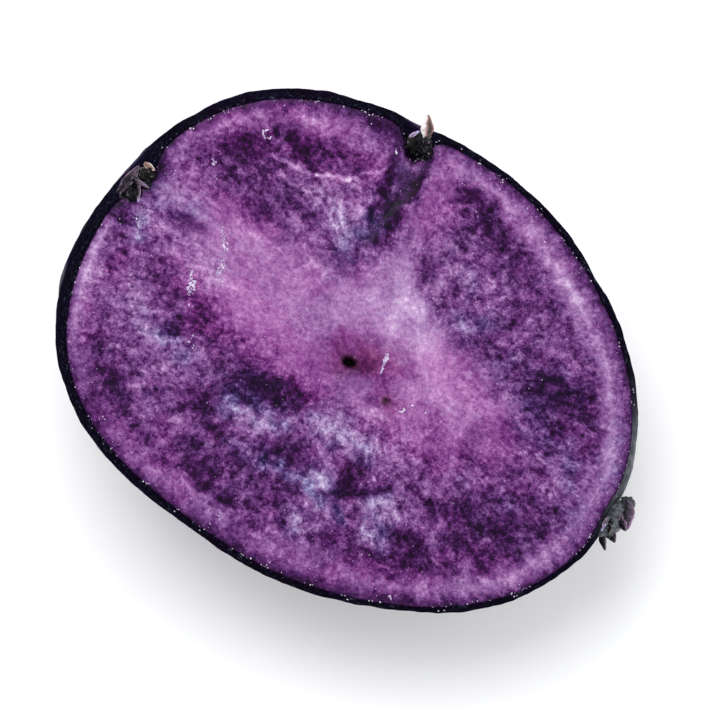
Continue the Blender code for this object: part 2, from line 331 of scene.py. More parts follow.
# %% [markdown]
# ## Relief of the cut
#
# A knife leaves raw potato flat but not smooth. The heart of this tuber is open, so there is a small
# dark pit near the middle, with a shallow one beside it. A fold runs in from the notch, the ring of
# vessels stands up by a hair where the softer flesh has shrunk, and the whole face is a little uneven,
# which is what breaks up its gloss.

# %% Heights on the cut
PITS = ((-0.4, -0.6, 1.9, 1.35, 2.2), (7.6, -2.9, 1.2, 1.0, 0.9))  # U, V, half-sizes along U and V, depth
PIT_RAGGED = 0.16  # share of its size by which a pit's rim wavers
FOLD_TOP, FOLD_END, FOLD_U, FOLD_SWAY = 35.5, 12.0, -8.6, 1.5  # from V to V, its U and how it sways from it
FOLD_WIDTH, FOLD_DEPTH = 5.0, 1.3  # at the notch
RING_DEPTHS = (5.0, 5.9, 5.8, 4.1, 6.1, 3.6, 2.2, 3.0, 4.3, 5.0, 5.7, 5.0)  # mm inside, every 30 degrees
UNEVEN = ((0.10, 7, 7, 41), (0.05, 2.3, 2.3, 42), (0.025, 0.9, 0.9, 43))  # layers of noise, in mm
RING_HEIGHT, RING_WIDTH, FALL_HEIGHT, FALL_WIDTH = 0.06, 0.7, 0.15, 0.45  # mm
SKIN_THICKNESS = 0.35


def edge_distance(u, v):
    """How far inside the edge a point of the cut lies, in mm along its radius."""
    angle = np.arctan2(v, u)
    return wave_sum(EDGE_RADII, angle) - edge_dip(angle) - np.hypot(u, v)


def pit_share(u, v, pit):
    """1 in the middle of a pit and 0 from its rim on: a smooth bowl in the distance from its middle."""
    pit_u, pit_v, half_u, half_v, _ = pit
    away = np.hypot((u - pit_u) / half_u, (v - pit_v) / half_v)
    ragged = away * (1 + PIT_RAGGED * soft_noise(3 * np.arctan2(v - pit_v, u - pit_u), away * 2, 31))
    return 1 - blend_in(np.clip(ragged, 0, 1))


def fold_share(u, v):
    """1 along the bottom of the fold and 0 at its sides: a bell across it that narrows towards its end."""
    t = np.clip((v - FOLD_TOP) / (FOLD_END - FOLD_TOP), 0, 1)
    middle = FOLD_U + FOLD_SWAY * np.sin(math.pi * t) - 0.4 * t + 0.25 * np.sin(v / 1.9)
    half = FOLD_WIDTH / 2 * (1 - 0.75 * t)
    return np.exp(-(np.abs(u - middle) / (0.5 * half)) ** 1.5) * (1 - t) ** 1.2


def cut_height(u, v):
    """Uneven flesh + ridge of the ring - fold - pits - a fall over the last half millimetre."""
    inside = edge_distance(u, v)
    ring = bell((inside - wave_sum(RING_DEPTHS, np.arctan2(v, u))) / RING_WIDTH)
    hollows = sum(pit[4] * pit_share(u, v, pit) for pit in PITS)
    fall = FALL_HEIGHT * bell(np.maximum(inside - SKIN_THICKNESS, 0) / FALL_WIDTH)
    return noise_sum(u, v, UNEVEN) + RING_HEIGHT * ring - FOLD_DEPTH * fold_share(u, v) - hollows - fall


pit_floor = cut_height(np.array([PITS[0][0]]), np.array([PITS[0][1]]))[0]
print("the floor of the large pit lies at", round(pit_floor, 2), "mm")

# %% [markdown]
# ## The flesh as one closed body
#
# The flesh is a closed body of its own: rings run out over the cut, turn down at the edge and close
# again under the skin, where nobody sees them and a few rows are enough. Down there it lies 3 mm below
# the smooth back, deeper than any eye, so that it can't show through the skin. The rings stand closer
# together near the edge, where the rind has its finest detail.

# %% Grid of the flesh
CUT_ROWS, HIDDEN_ROWS = 118, 10
SKIN_SUNK, FLESH_SUNK = 2.9, 3.2  # mm below the smooth back, deeper than any eye
SUNK_FROM = 0.12  # share of the way down from which on they lie that deep


def sunk_back(angle, share, deepest_by):
    """The back without lumps and eyes, sunk by the skin's thickness at the cut and by deepest_by below it."""
    points = smooth_back(angle, share)
    sunk = SKIN_THICKNESS + (deepest_by - SKIN_THICKNESS) * blend_in(np.clip(share / SUNK_FROM, 0, 1))
    return points - outward(points) * np.expand_dims(sunk + 0 * points[..., 0], -1)


def above_table(points, lowest):
    """Points in world metres, none of them lower than this many millimetres above the table."""
    points = points.copy()
    points[..., 2] = np.maximum(points[..., 2], lowest * MM)
    return points


steps = np.arange(1, CUT_ROWS + 1) / CUT_ROWS
outward_share = 1 - (1 - steps) ** 1.12
radius = outward_share[:, None] * (edge - SKIN_THICKNESS)[None, :]
cut_u, cut_v = radius * np.cos(angles), radius * np.sin(angles)
cut_rings = np.stack([cut_u, cut_v, cut_height(cut_u, cut_v)], axis=-1)
hidden_shares = np.linspace(0, 1, HIDDEN_ROWS + 1)[1:-1]
hidden_rings = sunk_back(angles[None, :], hidden_shares[:, None], FLESH_SUNK)
flesh_rings = np.concatenate([cut_rings, hidden_rings])
centre = np.array([0.0, 0.0, cut_height(np.zeros(1), np.zeros(1))[0]])
deepest = sunk_back(np.zeros(1), np.ones(1), FLESH_SUNK)[0]
print("rows on the cut", CUT_ROWS, "and under the skin", len(hidden_shares))

# %% [markdown]
# ## Where the colour sits
#
# The colour of a purple potato is dissolved in the sap of its cells, and it is uneven: dark clouds in
# the outer flesh, pale lines along the vessels, and a pale star in the middle, where the pith reaches
# out to the eyes. A texture could be painted by hand, but then it would be as coarse as its pixels.
# Here the large marks are strokes with soft ends, set down one by one like brush marks, and noise
# bends and breaks them. The finest grain is left to the shader.

# %% Dark strokes: from U, V to U, V, half-width, strength
DARK_STROKES = (
    # round the pits
    (-1.0, -0.6, 0.4, -0.8, 2.1, .14), (7.4, -2.8, 8.0, -3.0, 1.4, .10),
    # the lens between the notch and the bud end
    (-32, 19.5, -26, 23.5, 2.0, .15), (-24, 24, -14, 26.2, 1.8, .22), (-33, 17.5, -31, 20.5, 1.7, .11),
    (-34, 14.5, -22, 13, 2.6, .14), (-34, 17, -28, 16, 1.6, .10), (-22, 16.4, -18, 15.6, 1.2, .10),
    (-27, 20, -23, 22.5, 1.3, .10), (-27, 19, -22, 18.2, 1.5, .13), (-20, 17, -18, 16, 1.3, .10),
    # the fold that runs in from the notch, with painted shade along its crease
    (-10.2, 33, -9.9, 25, 1.1, .26), (-6.0, 33.5, -6.3, 22, 1.0, .28), (-9.2, 25, -9.0, 20, 0.8, .16),
    (-8.2, 32, -7.6, 18, 2.5, .17), (-7.2, 24, -7.4, 17, 1.4, .08), (-9, 18, -9, 12, 1.6, .08),
    # the crescent along the ring, past the notch
    (1.5, 32, 8, 29.6, 1.7, .17), (11, 27, 20, 22.5, 1.8, .14), (4, 28.5, 9, 27, 1.6, .11),
    (20, 23, 30, 18.5, 1.9, .12), (12, 24, 14.5, 22.6, 1.2, .10), (3.5, 20.5, 5.2, 24, 1.1, .08),
    (2, 18.3, 3.5, 17.3, 1.3, .12), (7, 17, 12, 19, 1.5, .10), (14, 22, 20, 19.5, 1.5, .08),
    (17, 20, 18, 18, 1.6, .10), (8, 14.5, 16, 11.5, 1.6, .10), (14, 16.5, 22, 16, 1.6, .08),
    (0.5, 20.5, 2.0, 16.5, 1.1, .12), (14.5, 14.5, 20.5, 11.5, 1.6, .12), (23, 17.5, 25.5, 17, 1.2, .10),
    # the clouds at the stalk end
    (25, 13.5, 35, 12.5, 2.9, .22), (26.5, 9.5, 30, 12, 2.4, .18), (29, -4.5, 31.5, -5, 1.1, .10),
    (27.5, 7.5, 37, 6.2, 1.8, .15), (36, 9.5, 37, 11.5, 1.3, .06), (30.6, 8.2, 33, 8.8, 1.2, .08),
    (20, 8, 24, 9.5, 1.6, .07), (18.5, 12.4, 20.5, 13.6, 1.2, .09), (22.6, -2, 26, -2.2, 1.4, .08),
    (22, -3.7, 26, -3.8, 0.9, .15), (30, -3, 39, -4.5, 2.0, .12), (29, -7, 38, -8.5, 2.2, .15),
    (27, -11.5, 36.5, -12.5, 2.5, .24), (20.5, -9.5, 23, -11.6, 1.2, .10), (28, -16, 34, -16.5, 1.8, .20),
    (22.5, -13, 24, -15, 1.3, .14), (24, -19.5, 29, -18.5, 1.6, .16), (26, 3.6, 32, 3.2, 1.8, .10),
    # the lower side
    (-16, -12.2, -12, -13.2, 2.4, .15), (-13, -9.5, -6, -10.8, 1.9, .23), (-10, -8.2, -4, -8.8, 1.2, .16),
    (-11, -13, -6.5, -12, 1.6, .20), (-10, -14, -8, -14.5, 1.2, .12), (-28, -10.2, -26, -10.4, 1.4, .27),
    (-31, -9.2, -29.5, -10, 1.0, .10), (-24.8, -3.6, -24.2, -5, 1.5, .20), (-26.5, -5, -22, -7, 2.0, .12),
    (-30, -6.5, -27, -7.5, 1.6, .10), (-33.5, -3, -31, -4.5, 1.7, .05), (-18.6, -17.6, -15.6, -18, 1.6, .24),
    (-14, -20, -12.5, -20.5, 1.3, .22), (-11, -18, -8, -19.5, 1.3, .13), (-21, -19.5, -18, -20.5, 1.2, .10),
    (-5, -18.5, -3, -19, 1.2, .12), (-3.2, -16.8, 3.2, -17.2, 1.4, .27), (-2, -18.5, 1.5, -19, 1.2, .16),
    (-14, -21.5, -11.5, -21.8, 1.4, .17), (-5, -20.8, -3, -21.4, 1.3, .14), (-19, -8.5, -17, -9, 1.3, .12),
    (8.6, -13.6, 10.4, -17.2, 1.9, .31), (7, -18.8, 9.6, -18.2, 1.3, .20), (12, -16.5, 13.5, -15.5, 1.1, .12),
    (13.6, -13, 15.2, -13.8, 1.1, .15), (12, -19.5, 14, -19.5, 1.2, .10), (18.5, -19.5, 23, -20.5, 1.8, .25),
    (18, -21.5, 20.5, -22, 1.3, .10), (21, -23.5, 26, -22.5, 1.3, .12), (-31, -21, -26, -24.5, 1.5, .18),
    (-34, -19, -31, -21, 1.2, .12), (-36, -16.5, -34, -19, 1.0, .05), (-15, -24, -11, -27, 2.0, .20),
    (-9, -23.5, -6.5, -27.5, 2.0, .19), (-6, -21.6, -3.4, -22.4, 1.2, .10), (-11, -28.5, -6, -29, 1.2, .16),
    (-4, -24, -2, -26.5, 1.3, .11), (1.5, -25, 3, -27, 1.2, .12), (7, -24.5, 9, -27, 1.5, .12),
    (12.5, -23.5, 14, -25.5, 1.4, .12), (17, -25, 22, -26, 1.3, .10), (10, -22.6, 13.5, -23, 1.0, .12),
    (24, -16.5, 25, -17.5, 1.1, .10), (-24, -21, -22.5, -23, 1.2, .08), (-2.5, -22, 0.5, -22.5, 1.1, .12),
    (-14, -11.5, -12, -11, 1.2, .08),
    # close to the skin
    (-17, 32.5, -12, 33, 1.4, .20), (-42.0, 18, -41.0, 9, 1.5, .26), (-43.8, 3.8, -43.4, 1.0, 1.4, .24),
    (-41.8, 8.8, -41.2, 4.8, 1.5, .24), (-43.6, 3.6, -42.6, 1.0, 1.5, .22), (42, -2, 43.5, -7, 1.5, .10),
    (23, -29, 27, -28, 1.4, .10), (-31, -25, -28, -27, 1.4, .10), (-4, 34, 4, 34.2, 1.2, .10),
    (-22, 27.5, -20, 29, 1.3, .08),
    # small clouds all over the cut
    (20, 11.8, 22, 11, 1.0, .10), (-39.2, 8.4, -38.8, 5.8, 1.0, .08), (-42.2, 3.2, -41.6, 1.8, 1.0, .10),
    (-15.4, -14.2, -8, -15, 1.0, .09), (-33, -25, -30.4, -27.2, 1.5, .08), (24.6, -8.2, 27, -7, 1.2, .08),
    (-22.5, -20.4, -19.5, -20.8, 1.0, .08), (19, -30, 22.5, -29, 1.2, .06),
    (-36.4, -22, -34.6, -24, 1.1, .05), (32, 21.6, 33.4, 20, 1.1, .05), (-24, 19.4, -22.6, 17.8, 1.0, .05),
    (35, 8.4, 37, 8, 1.2, .06), (9, -26, 11, -26.4, 1.6, .07), (-1.4, -28.4, 1.2, -28.2, 1.6, .06),
    # The short strong stroke at U -28.3 on the next line is a painted dark reflection inside a droplet.
    (13, 28.6, 15.4, 27.8, 1.4, .07), (-28.3, 24.3, -28.1, 23.9, 0.55, .30), (7, 20.8, 8.2, 20.4, 0.9, .10),
    (-40.2, 6.6, -39.4, 6.2, 1.2, .10), (-34.6, 0.6, -33, -0.8, 1.2, .10),
    (-40.5, -1.5, -39.5, -3.5, 1.0, .10), (2.4, -13.4, 3.6, -13.6, 1.0, .12), (9, -21.6, 11, -23, 1.0, .07),
    (13.5, -14.8, 15, -15.4, 1.0, .08), (-29.2, 19.6, -27, 20.6, 1.2, .08),
    (-12.6, -16, -11, -16.4, 1.0, .08), (-22, -27.4, -20.6, -27.8, 1.0, .05),
    (-5.2, -30.6, -3.4, -32, 1.1, .12), (-14.8, 16.4, -13.4, 17.6, 0.9, .12), (1.5, 1.2, 4.0, 2.8, 0.9, .13),
    (7.0, -2.6, 8.6, -3.2, 1.3, .08), (-25.8, -11.4, -24.2, -11.6, 1.1, .09),
    (17, -25.6, 18.6, -26.6, 1.0, .09), (-3, 31, -2.6, 29.2, 1.3, .06), (15, 27.6, 18, 26.6, 1.0, .13),
    (3.8, 28.6, 5.4, 28.4, 1.2, .13), (-8.5, 27, -5.8, 26.5, 1.3, .10), (-31, 25.2, -28.5, 26, 1.1, .12),
    (-35.6, 21, -35, 18.6, 0.9, .10), (-28.6, 19.8, -27.4, 19.4, 0.8, .10), (-10.5, 9.5, -7, 5, 2.2, .07),
    (-4.5, -1, -2.5, -7.5, 2.0, .08), (29.2, 3.6, 31.6, 3.2, 1.2, .10), (20, -3, 32, -4, 1.4, .06),
    (-35.5, -5.5, -31, -7.5, 1.6, .08), (-35, 5.8, -33, 5.4, 1.2, .08), (-21.6, -9.4, -20.4, -10, 1.1, .08),
    (-9.6, -14.6, -8.6, -15.4, 1.0, .10), (-0.5, -27.6, 0.5, -29.4, 1.1, .12),
    (-12.6, -19.6, -10.6, -20.6, 1.1, .10), (-18.4, -24.6, -17.6, -25.6, 1.0, .08),
    (6.6, -18.4, 7.6, -18.8, 0.9, .08), (14, 14.4, 15.4, 13.2, 0.9, .07), (24, 20.2, 25.2, 19.4, 1.0, .08),
    (30.2, -17.6, 31.4, -18.6, 0.9, .08),
    # the bud end
    (-39.5, -3, -39, -7.5, 1.1, .09), (-37.5, -13, -36, -17, 1.1, .05), (-35.5, 5.6, -31.5, 6, 1.2, .16),
    (-33, 3.5, -31, 4.5, 0.9, .10), (-36.5, 17.5, -36.5, 14.5, 1.4, .12),
)
print(len(DARK_STROKES), "dark strokes")

# %% Pale strokes, with the same six numbers
PALE_STROKES = (
    # gaps between the clouds
    (-32, 27, -28.6, 29.6, 1.2, .11), (4.4, -14, 6.4, -16, 1.0, .10), (1.6, -18.8, 4, -19, 1.0, .08),
    (11, -18.8, 13.4, -19.4, 1.0, .08), (19.5, -18.6, 23.5, -20, 1.1, .08), (-5, -18, -3, -18.8, 1.0, .06),
    (-20, -29.6, -18, -30.4, 1.1, .10), (-6.6, -29, -5.4, -30.4, 0.9, .10), (-4.6, 2.8, -2.2, 3.8, 1.3, .08),
    (30.5, -21, 33, -22, 1.4, .08), (32, -14.6, 34, -15.6, 1.3, .07), (-14.2, 20.6, -13.4, 18.4, 0.8, .08),
    (5, -6.4, 7, -6.8, 1.0, .07), (26.4, 17, 30, 16.4, 1.2, .05), (-30, 10.4, -26, 10.8, 1.2, .05),
    (14, 22, 30, 10, 7.5, .03), (7.4, -10, 9.4, -10.6, 1.5, .13), (-31, -10, -29.4, -10.6, 1.4, .16),
    (24.4, 25.2, 27.2, 23.2, 1.1, .05), (-34.6, 14.2, -33, 13.6, 1.2, .09), (29.4, -14, 31, -14.4, 1.2, .07),
    (3.4, -18.6, 4.8, -19.2, 1.0, .09), (19.6, 21, 20.4, 20, 0.9, .09), (12.2, 14.6, 13, 12.6, 1.0, .08),
    (-27, 8.8, -22, 9.2, 1.6, .08), (-14, 9.8, -10.5, 9.6, 1.5, .09), (-25.5, -1, -22.5, -1.4, 1.5, .07),
    (10.4, 1, 19, 0.2, 1.7, .09), (-6, 5.5, -4, 5.2, 1.6, .04), (3.6, -15.2, 6, -18.4, 1.0, .13),
    (-28, -13.4, -26.6, -15.8, 1.0, .10), (-27, -28, -25.4, -28.8, 1.0, .12),
    (-18.6, -29.6, -17, -30.6, 1.0, .10), (-17.6, -22.6, -16.2, -23.4, 1.0, .12),
    (-10.6, -22, -9, -23, 0.9, .12), (-9, -17.4, -7.2, -18, 1.0, .09), (-10.8, 24, -10.6, 18.5, 0.9, .12),
    (14.4, 15.4, 16, 15, 0.9, .09), (7.4, 20.4, 8.8, 19.6, 0.8, .08), (22.6, 13.4, 24, 12.6, 0.9, .08),
    (36, -14, 39, -16.4, 1.4, .13), (-40.4, -8.6, -39.2, -11.6, 1.1, .12), (37, 13.6, 38, 12, 1.1, .10),
    (38.6, -6, 39.4, -8, 1.0, .10), (37.4, -0.6, 38.6, -2.2, 1.0, .08), (-2.5, 9.5, 1.5, 8, 2.0, .08),
    (4, 16, 4.5, 19, 1.2, .07), (19.5, 28.6, 23.5, 26.2, 1.5, .16), (6.4, -24.4, 8.0, -24.4, 1.1, .16),
    (8, -12, 9, -12.4, 1.2, .10), (-6.4, -16.4, -5.2, -17.2, 1.1, .12), (3.8, -19.4, 5.2, -18.4, 1.0, .08),
    (12.5, -18.6, 14.5, -18.6, 1.1, .08), (21, -18.4, 24, -18.8, 1.0, .08),
    (26.2, -7.2, 28.4, -8.2, 1.2, .10), (34, -18.8, 35.6, -19.6, 1.2, .09), (34, 1.4, 37.4, 0.4, 1.2, .08),
    (-37, 12, -35.6, 9.4, 1.3, .10), (-38, -10.4, -35.5, -12, 1.3, .10), (-31.6, -13, -29.5, -15, 1.4, .08),
    (-29.6, -12, -28.4, -13, 1.1, .07), (-23.4, -30, -21.6, -30.6, 1.0, .07),
    (-14.6, -32, -10.4, -33, 1.1, .09), (-29.4, -3.6, -27, -4.6, 1.3, .06),
    (10.6, 18.6, 12.2, 19.4, 0.8, .06), (17.6, 22.6, 19.2, 21.2, 0.9, .07),
    (28.4, 17.8, 29.6, 16.6, 1.0, .08), (22.6, 14.4, 25, 13.4, 1.0, .08), (-14.2, 21, -13.2, 20, 0.9, .08),
    (-13.4, 16.8, -12.6, 15, 1.0, .07), (-9.3, 31.2, -7.4, 30.2, 0.7, .24),
    (-41.8, 6.6, -40.4, 4.2, 0.7, .14),
    # the star of the pith
    (3, 11.8, 5, 10.9, 1.6, .14), (0.5, 15.5, 4.5, 11.5, 1.5, .11), (5, 11.5, 9, 8.8, 1.2, .06),
    (-2, 12, 8, 9, 4.2, .15), (-27, 5, -8, 5, 5.2, .19), (-26, 9, -12, 9.5, 2.6, .05),
    (5, 5, 14, 4.2, 4.2, .10), (9, 7, 21, 5, 3.2, .14), (25, 2, 37, 1.5, 2.0, .02),
    (-1.5, 15.5, 1.5, 12.5, 1.5, .12), (-5, 7.5, 1.5, 8, 3.3, .15), (12, 2.5, 19, 2, 2.6, .10),
    (10, -2, 24, -2.2, 2.8, .10), (-18, -1, -2, -3.5, 3.4, .13), (-28, -2, -16, -3, 2.4, .06),
    (4, -4, 14, -5.5, 2.4, .10), (-1, 20, -3, 29, 2.4, .06), (0, 15, -1.5, 20, 2.0, .08),
    (-38, 7.5, -33, 9, 2.6, .13), (-38, 2, -34, 1, 2.2, .08), (-39, -1, -36, -2, 1.6, .06),
    (-4, 33, -1.5, 25, 1.8, .08), (-4.5, 13, -4, 19, 2.0, .09), (-31, 1.5, -23, 0.5, 2.4, .12),
    # patches of the lens
    (-16.5, 20.2, -13.2, 17.6, 1.4, .16), (-13.5, 17.5, -11, 16, 1.6, .19),
    (-12.5, 21.5, -11.5, 19.5, 1.0, .08), (-20, 14, -14, 13, 1.5, .08), (-28, 27.8, -20, 28.6, 0.9, .12),
    (-36.8, 18.5, -34, 24, 0.7, .08),
    # the haze of the lower side
    (-13, -16.2, -6, -15.6, 1.2, .18), (-12, -17.6, -9.5, -17.4, 0.7, .10),
    (-7.5, -14.2, -4.5, -13.2, 0.9, .10), (0, -10.8, 8.6, -10.9, 1.4, .17),
    (4.6, -13.2, 6.4, -13.4, 0.9, .08), (-4, -11.6, 0, -12.4, 0.8, .06), (3.5, -17.5, 6, -18.2, 1.0, .17),
    (4.6, -20, 6.4, -21, 0.8, .10), (15, -16.6, 17.6, -17.8, 1.2, .17), (15.6, -21.8, 17.4, -22.8, 1.2, .20),
    (13.5, -19, 15, -21, 0.8, .07), (10.2, -20.6, 11.8, -19.4, 0.7, .08), (4.4, -25.6, 6.2, -26.8, 1.0, .18),
    (7.6, -23, 9.4, -23.6, 0.8, .12), (-25.6, -24.4, -24.5, -27, 0.6, .16), (-33, -12, -27, -13, 1.5, .09),
    (-25.5, -12, -21, -13.5, 1.6, .09), (-35, -8, -31, -11, 1.6, .07), (-15, -28.6, -13.6, -29.4, 1.0, .07),
    (-24, -15.5, -20, -16.5, 1.4, .06), (-9.6, -31, -8, -32.4, 0.9, .07), (1, -30, 2, -33, 0.9, .10),
    (-33, -15, -28, -17.5, 1.5, .09), (-14, -22, -12.5, -23.5, 0.7, .07), (2.5, -6, 7, -6.2, 1.4, .10),
    (4.8, -18.5, 5.8, -24, 1.1, .12), (-4, -14, 1.5, -13.8, 1.0, .12), (-43, -6, -40.5, -13, 1.2, .12),
    (-27, -14.5, -25, -15.5, 1.2, .08), (8, 32.5, 13, 30.5, 1.2, .08),
    # the stalk end
    (11.5, 13.2, 14.6, 13.2, 1.4, .15), (13.5, 17, 11.2, 18.2, 1.0, .12), (16, 21.5, 19, 22.5, 1.0, .07),
    (22.5, 17.4, 25, 17.2, 0.9, .10), (19.5, 13.5, 21.5, 12, 1.0, .08), (9.5, 21, 10.5, 19.5, 0.8, .07),
    (19, -10, 21.5, -8.5, 1.3, .06), (26, -5.5, 30, -5.5, 0.9, .06), (30, -20.2, 34, -18.4, 0.9, .06),
)
print(len(PALE_STROKES), "pale strokes")

# %% Strokes for thin vessels, for colour and for the even pith
THREAD_STROKES = (  # thin pale vessels, which noise bends less
    (-27, 20.6, -20, 21.4, 0.36, .36), (-20, 21.4, -15.2, 23.6, 0.36, .36), (-15.2, 23.6, -11, 28, 0.36, .32),
    (-25, 18.9, -17, 18.2, 0.38, .15), (-26, 17.6, -20, 17.2, 0.32, .10), (-22, 22.2, -20.5, 26.5, 0.22, .10),
    (-20, 22.4, -18.6, 26.8, 0.22, .10), (-18, 22.8, -16.6, 27.0, 0.22, .10),
    (-16.2, 23.6, -14.4, 27.4, 0.22, .10), (-14.2, 25, -12.6, 28, 0.22, .10),
    (-12, -30.1, -4, -29.7, 0.35, .14), (-15, -30.6, -5, -31.0, 0.30, .10),
)
PINK_STROKES = (
    (-26, 6, -14, 6, 5.0, .35), (-20, -1, -4, -5, 3.4, .75), (-22, -5.5, -4, -7.6, 2.4, .75),
    (-34, 10, -22, 11, 2.2, .40), (-10, 9, -6, 12, 3.0, .35), (0, 4, 12, 3, 4.5, .25),
    (12, 7, 26, 3, 3.6, .50), (12, -3, 27, -4, 3.6, .45), (-2, 0.6, 4.5, 1.4, 2.4, .80),
    (6.6, -2.4, 9, -3, 1.4, .60), (-3, 33, -1, 24, 2.4, .40), (-33, 22, -14, 27, 4.0, .40),
    (-38, 18, -37, 22, 2.6, .35), (-30, 27, -18, 30.5, 1.8, .35), (-25.5, -4, -23.5, -7, 2.6, .60),
    (-31, -1, -27, -3.5, 2.4, .45), (-37.5, 11, -34, 13.5, 2.0, .30), (5, -6, 20, -8, 2.4, .30),
    (28, -20, 38, -15, 2.2, .30), (14, -29, 28, -24, 2.2, .40), (-30, -27, -12, -31.5, 2.0, .35),
    (0, -31, 12, -31, 2.0, .30), (4, 33.5, 20, 29, 2.2, .20), (-20.5, -24, -17.5, -28, 1.8, .30),
    (-40, -14, -36, -20, 1.8, .25), (-38, -1, -38.5, -8, 2.0, .40), (1, 28, 3, 31.5, 2.0, .25),
)
BLUE_STROKES = (
    (-14, -15.8, -5, -14.6, 2.0, .80), (0, -11.2, 8.6, -11.2, 2.2, .55), (3, -17.6, 7, -18.6, 1.8, .55),
    (-4, -19.4, 4, -20.6, 1.1, .80), (4, -20.6, 10.5, -22.2, 1.0, .80), (15, -17, 17.4, -22.6, 2.0, .60),
    (4.4, -26, 6, -27, 1.6, .50), (12, 13.5, 14.4, 15.6, 2.0, .55), (9, 20.5, 10.4, 19.2, 1.4, .35),
    (-13.4, 17.2, -11, 16, 1.8, .40), (-9, 20, -9.4, 11, 2.0, .55), (-28, -12, -23, -12.6, 1.8, .55),
    (-8.2, 29, -7.8, 20, 1.3, .25), (-34, -10, -29, -12.4, 2.0, .25), (-12, -10, -6, -11, 2.2, .30),
    (38, 2, 42, -3, 2.4, .30), (27, 7, 37, 3, 2.6, .35), (20, 10, 30, 12, 3.6, .25),
    (-40, 7, -34, 8, 2.4, .45), (-39.4, 1.6, -38, -1, 1.6, .60), (-11, -20.5, -2, -21, 1.2, .35),
    (24, -6, 32, -7, 2.0, .25), (-12, -13.5, -16, -12.5, 1.6, .35), (41, 12, 43.5, 4, 1.6, .35),
    (-3, 13, 7, 10, 3.6, .10),
)
BROWN_STROKES = (
    (-0.6, -0.4, 1.8, 1.0, 2.6, .8), (1.5, 1.5, 4.5, 3.0, 2.6, .35), (7.4, -2.6, 8.6, -3.0, 1.8, .5),
)
PITH_STROKES = (  # where the flesh is nearly even, as in the middle of a stem
    (-26, 5.5, 0, 4.5, 6.2, 1.0), (-3, 10, 10, 8, 5.0, .7), (8, 4, 24, 3.0, 4.6, .8),
    (-20, -2, 0, -4, 3.6, .8), (4, -3, 20, -3.5, 3.4, .6), (-2, 14, -2, 31, 2.6, .7),
    (-37, 8, -30, 7, 3.2, .6), (0.5, 16, 4.5, 12, 2.0, .5),
)
print([len(marks) for marks in (THREAD_STROKES, PINK_STROKES, BLUE_STROKES, BROWN_STROKES)], "strokes")

# %% What the rind looks like, round the edge
RING_MARKS = (  # degrees from +U, how far the ring shows to either side, and how pale it is there
    (46, 22, .24), (84, 10, .20), (14, 14, .15), (-16, 14, .15), (-44, 14, .11), (-75, 16, .09),
    (-106, 12, .07), (-165, 18, .21), (128, 12, .09), (150, 10, .14),
)
RIND_TONES = (.09, .07, .08, .12, .09, .12, .12, .02, .0, .04, .07, .09)  # every 30 degrees, as the next two
EDGE_SHADES = (1.0, 1.2, 1.5, 1.1, 2.2, 1.3, 0.4, 0.4, 1.3, 1.6, 2.0, 1.4)  # mm the skin's dark reaches in
BELT_DARKNESS = (.07, .05, .02, 0, -.03, -.02, -.02, .10, .08, .03, .09, .06)  # just inside the ring
print("the ring shows in", len(RING_MARKS), "stretches")

# %% How strongly each thing shows
RING_MIDDLE, RING_WAVERS = 0.62, 0.06  # where in the rind the pale ring lies, as shares of the rind's depth
BROAD_RING, BROAD_WIDTH, THIN_RING, THIN_WIDTH = 0.80, 0.24, 0.35, 0.09  # how pale, and half-width
RIND_RAGGED, RIND_BLUR, BELT_INSIDE, BELT_WIDTH = 0.5, 0.45, 2.2, 1.6  # mm
SHAKES = ((3.1, 0.85, 3), (1.3, 0.55, 4), (0.6, 0.35, 5))  # mm of a step, mm that it moves a point by, seed
CLOUDS = ((0.55, 2.6, 2.2, 11), (0.55, 1.35, 1.2, 12), (0.35, 0.75, 0.7, 13))  # layers of noise
ISLANDS = ((1, 1.2, 1.0, 21), (0.5, 0.6, 0.6, 22))
# What each thing adds to the tone, everywhere, in marbled flesh, in the rind, or in blue flesh:
MIDDLE_TONE, PITH_TONE, DARK_WEIGHT, EDGE_DARKNESS = 0.42, 0.012, 1.05, 0.42
CLOUD_TONE, CLOUD_MARBLED, CLOUD_RIND = 0.06, 0.068, -0.015
ISLAND_MARBLED, ISLAND_RIND, BLUE_TONE, BLUE_FROM = 0.035, 0.03, 0.10, 0.3
SPOKES, SPOKE_LENGTH, SPOKES_FROM, SPOKES_FULL = 30, 3.5, 12, 22  # per radian, and mm from the middle
MIDDLE_PINK, PINK_MARBLED, PINK_RIND = 0.30, 0.25, -0.1
print("a cloud changes the tone by up to", round(CLOUD_TONE + CLOUD_MARBLED, 3))


# %% Strokes, their shaking, and the pale ring
def strokes(u, v, marks):
    """The sum of strength * exp(-(distance from the stroke's middle line / half-width)^2.5)."""
    total = np.zeros_like(u)
    for u0, v0, u1, v1, half_width, strength in marks:
        du, dv = u1 - u0, v1 - v0
        along = np.clip(((u - u0) * du + (v - v0) * dv) / (du * du + dv * dv), 0, 1)
        away = np.hypot(u - u0 - du * along, v - v0 - dv * along)
        total += strength * np.exp(-((away / half_width) ** 2.5))
    return total


def shaken(u, v, amount):
    """U and V moved sideways by three noises, one after the other, which makes every cloud's edge ragged."""
    for step, reach, seed in SHAKES:
        aside, ahead = soft_noise(u / step, v / step, seed), soft_noise(v / step, u / step, seed + 70)
        u, v = u + amount * reach * aside, v + amount * reach * ahead
    return u, v


def noise_round(angle, steps, seed):
    """Noise that changes only round the tuber, with this many steps per radian."""
    return soft_noise(angle * steps, 0 * angle, seed)


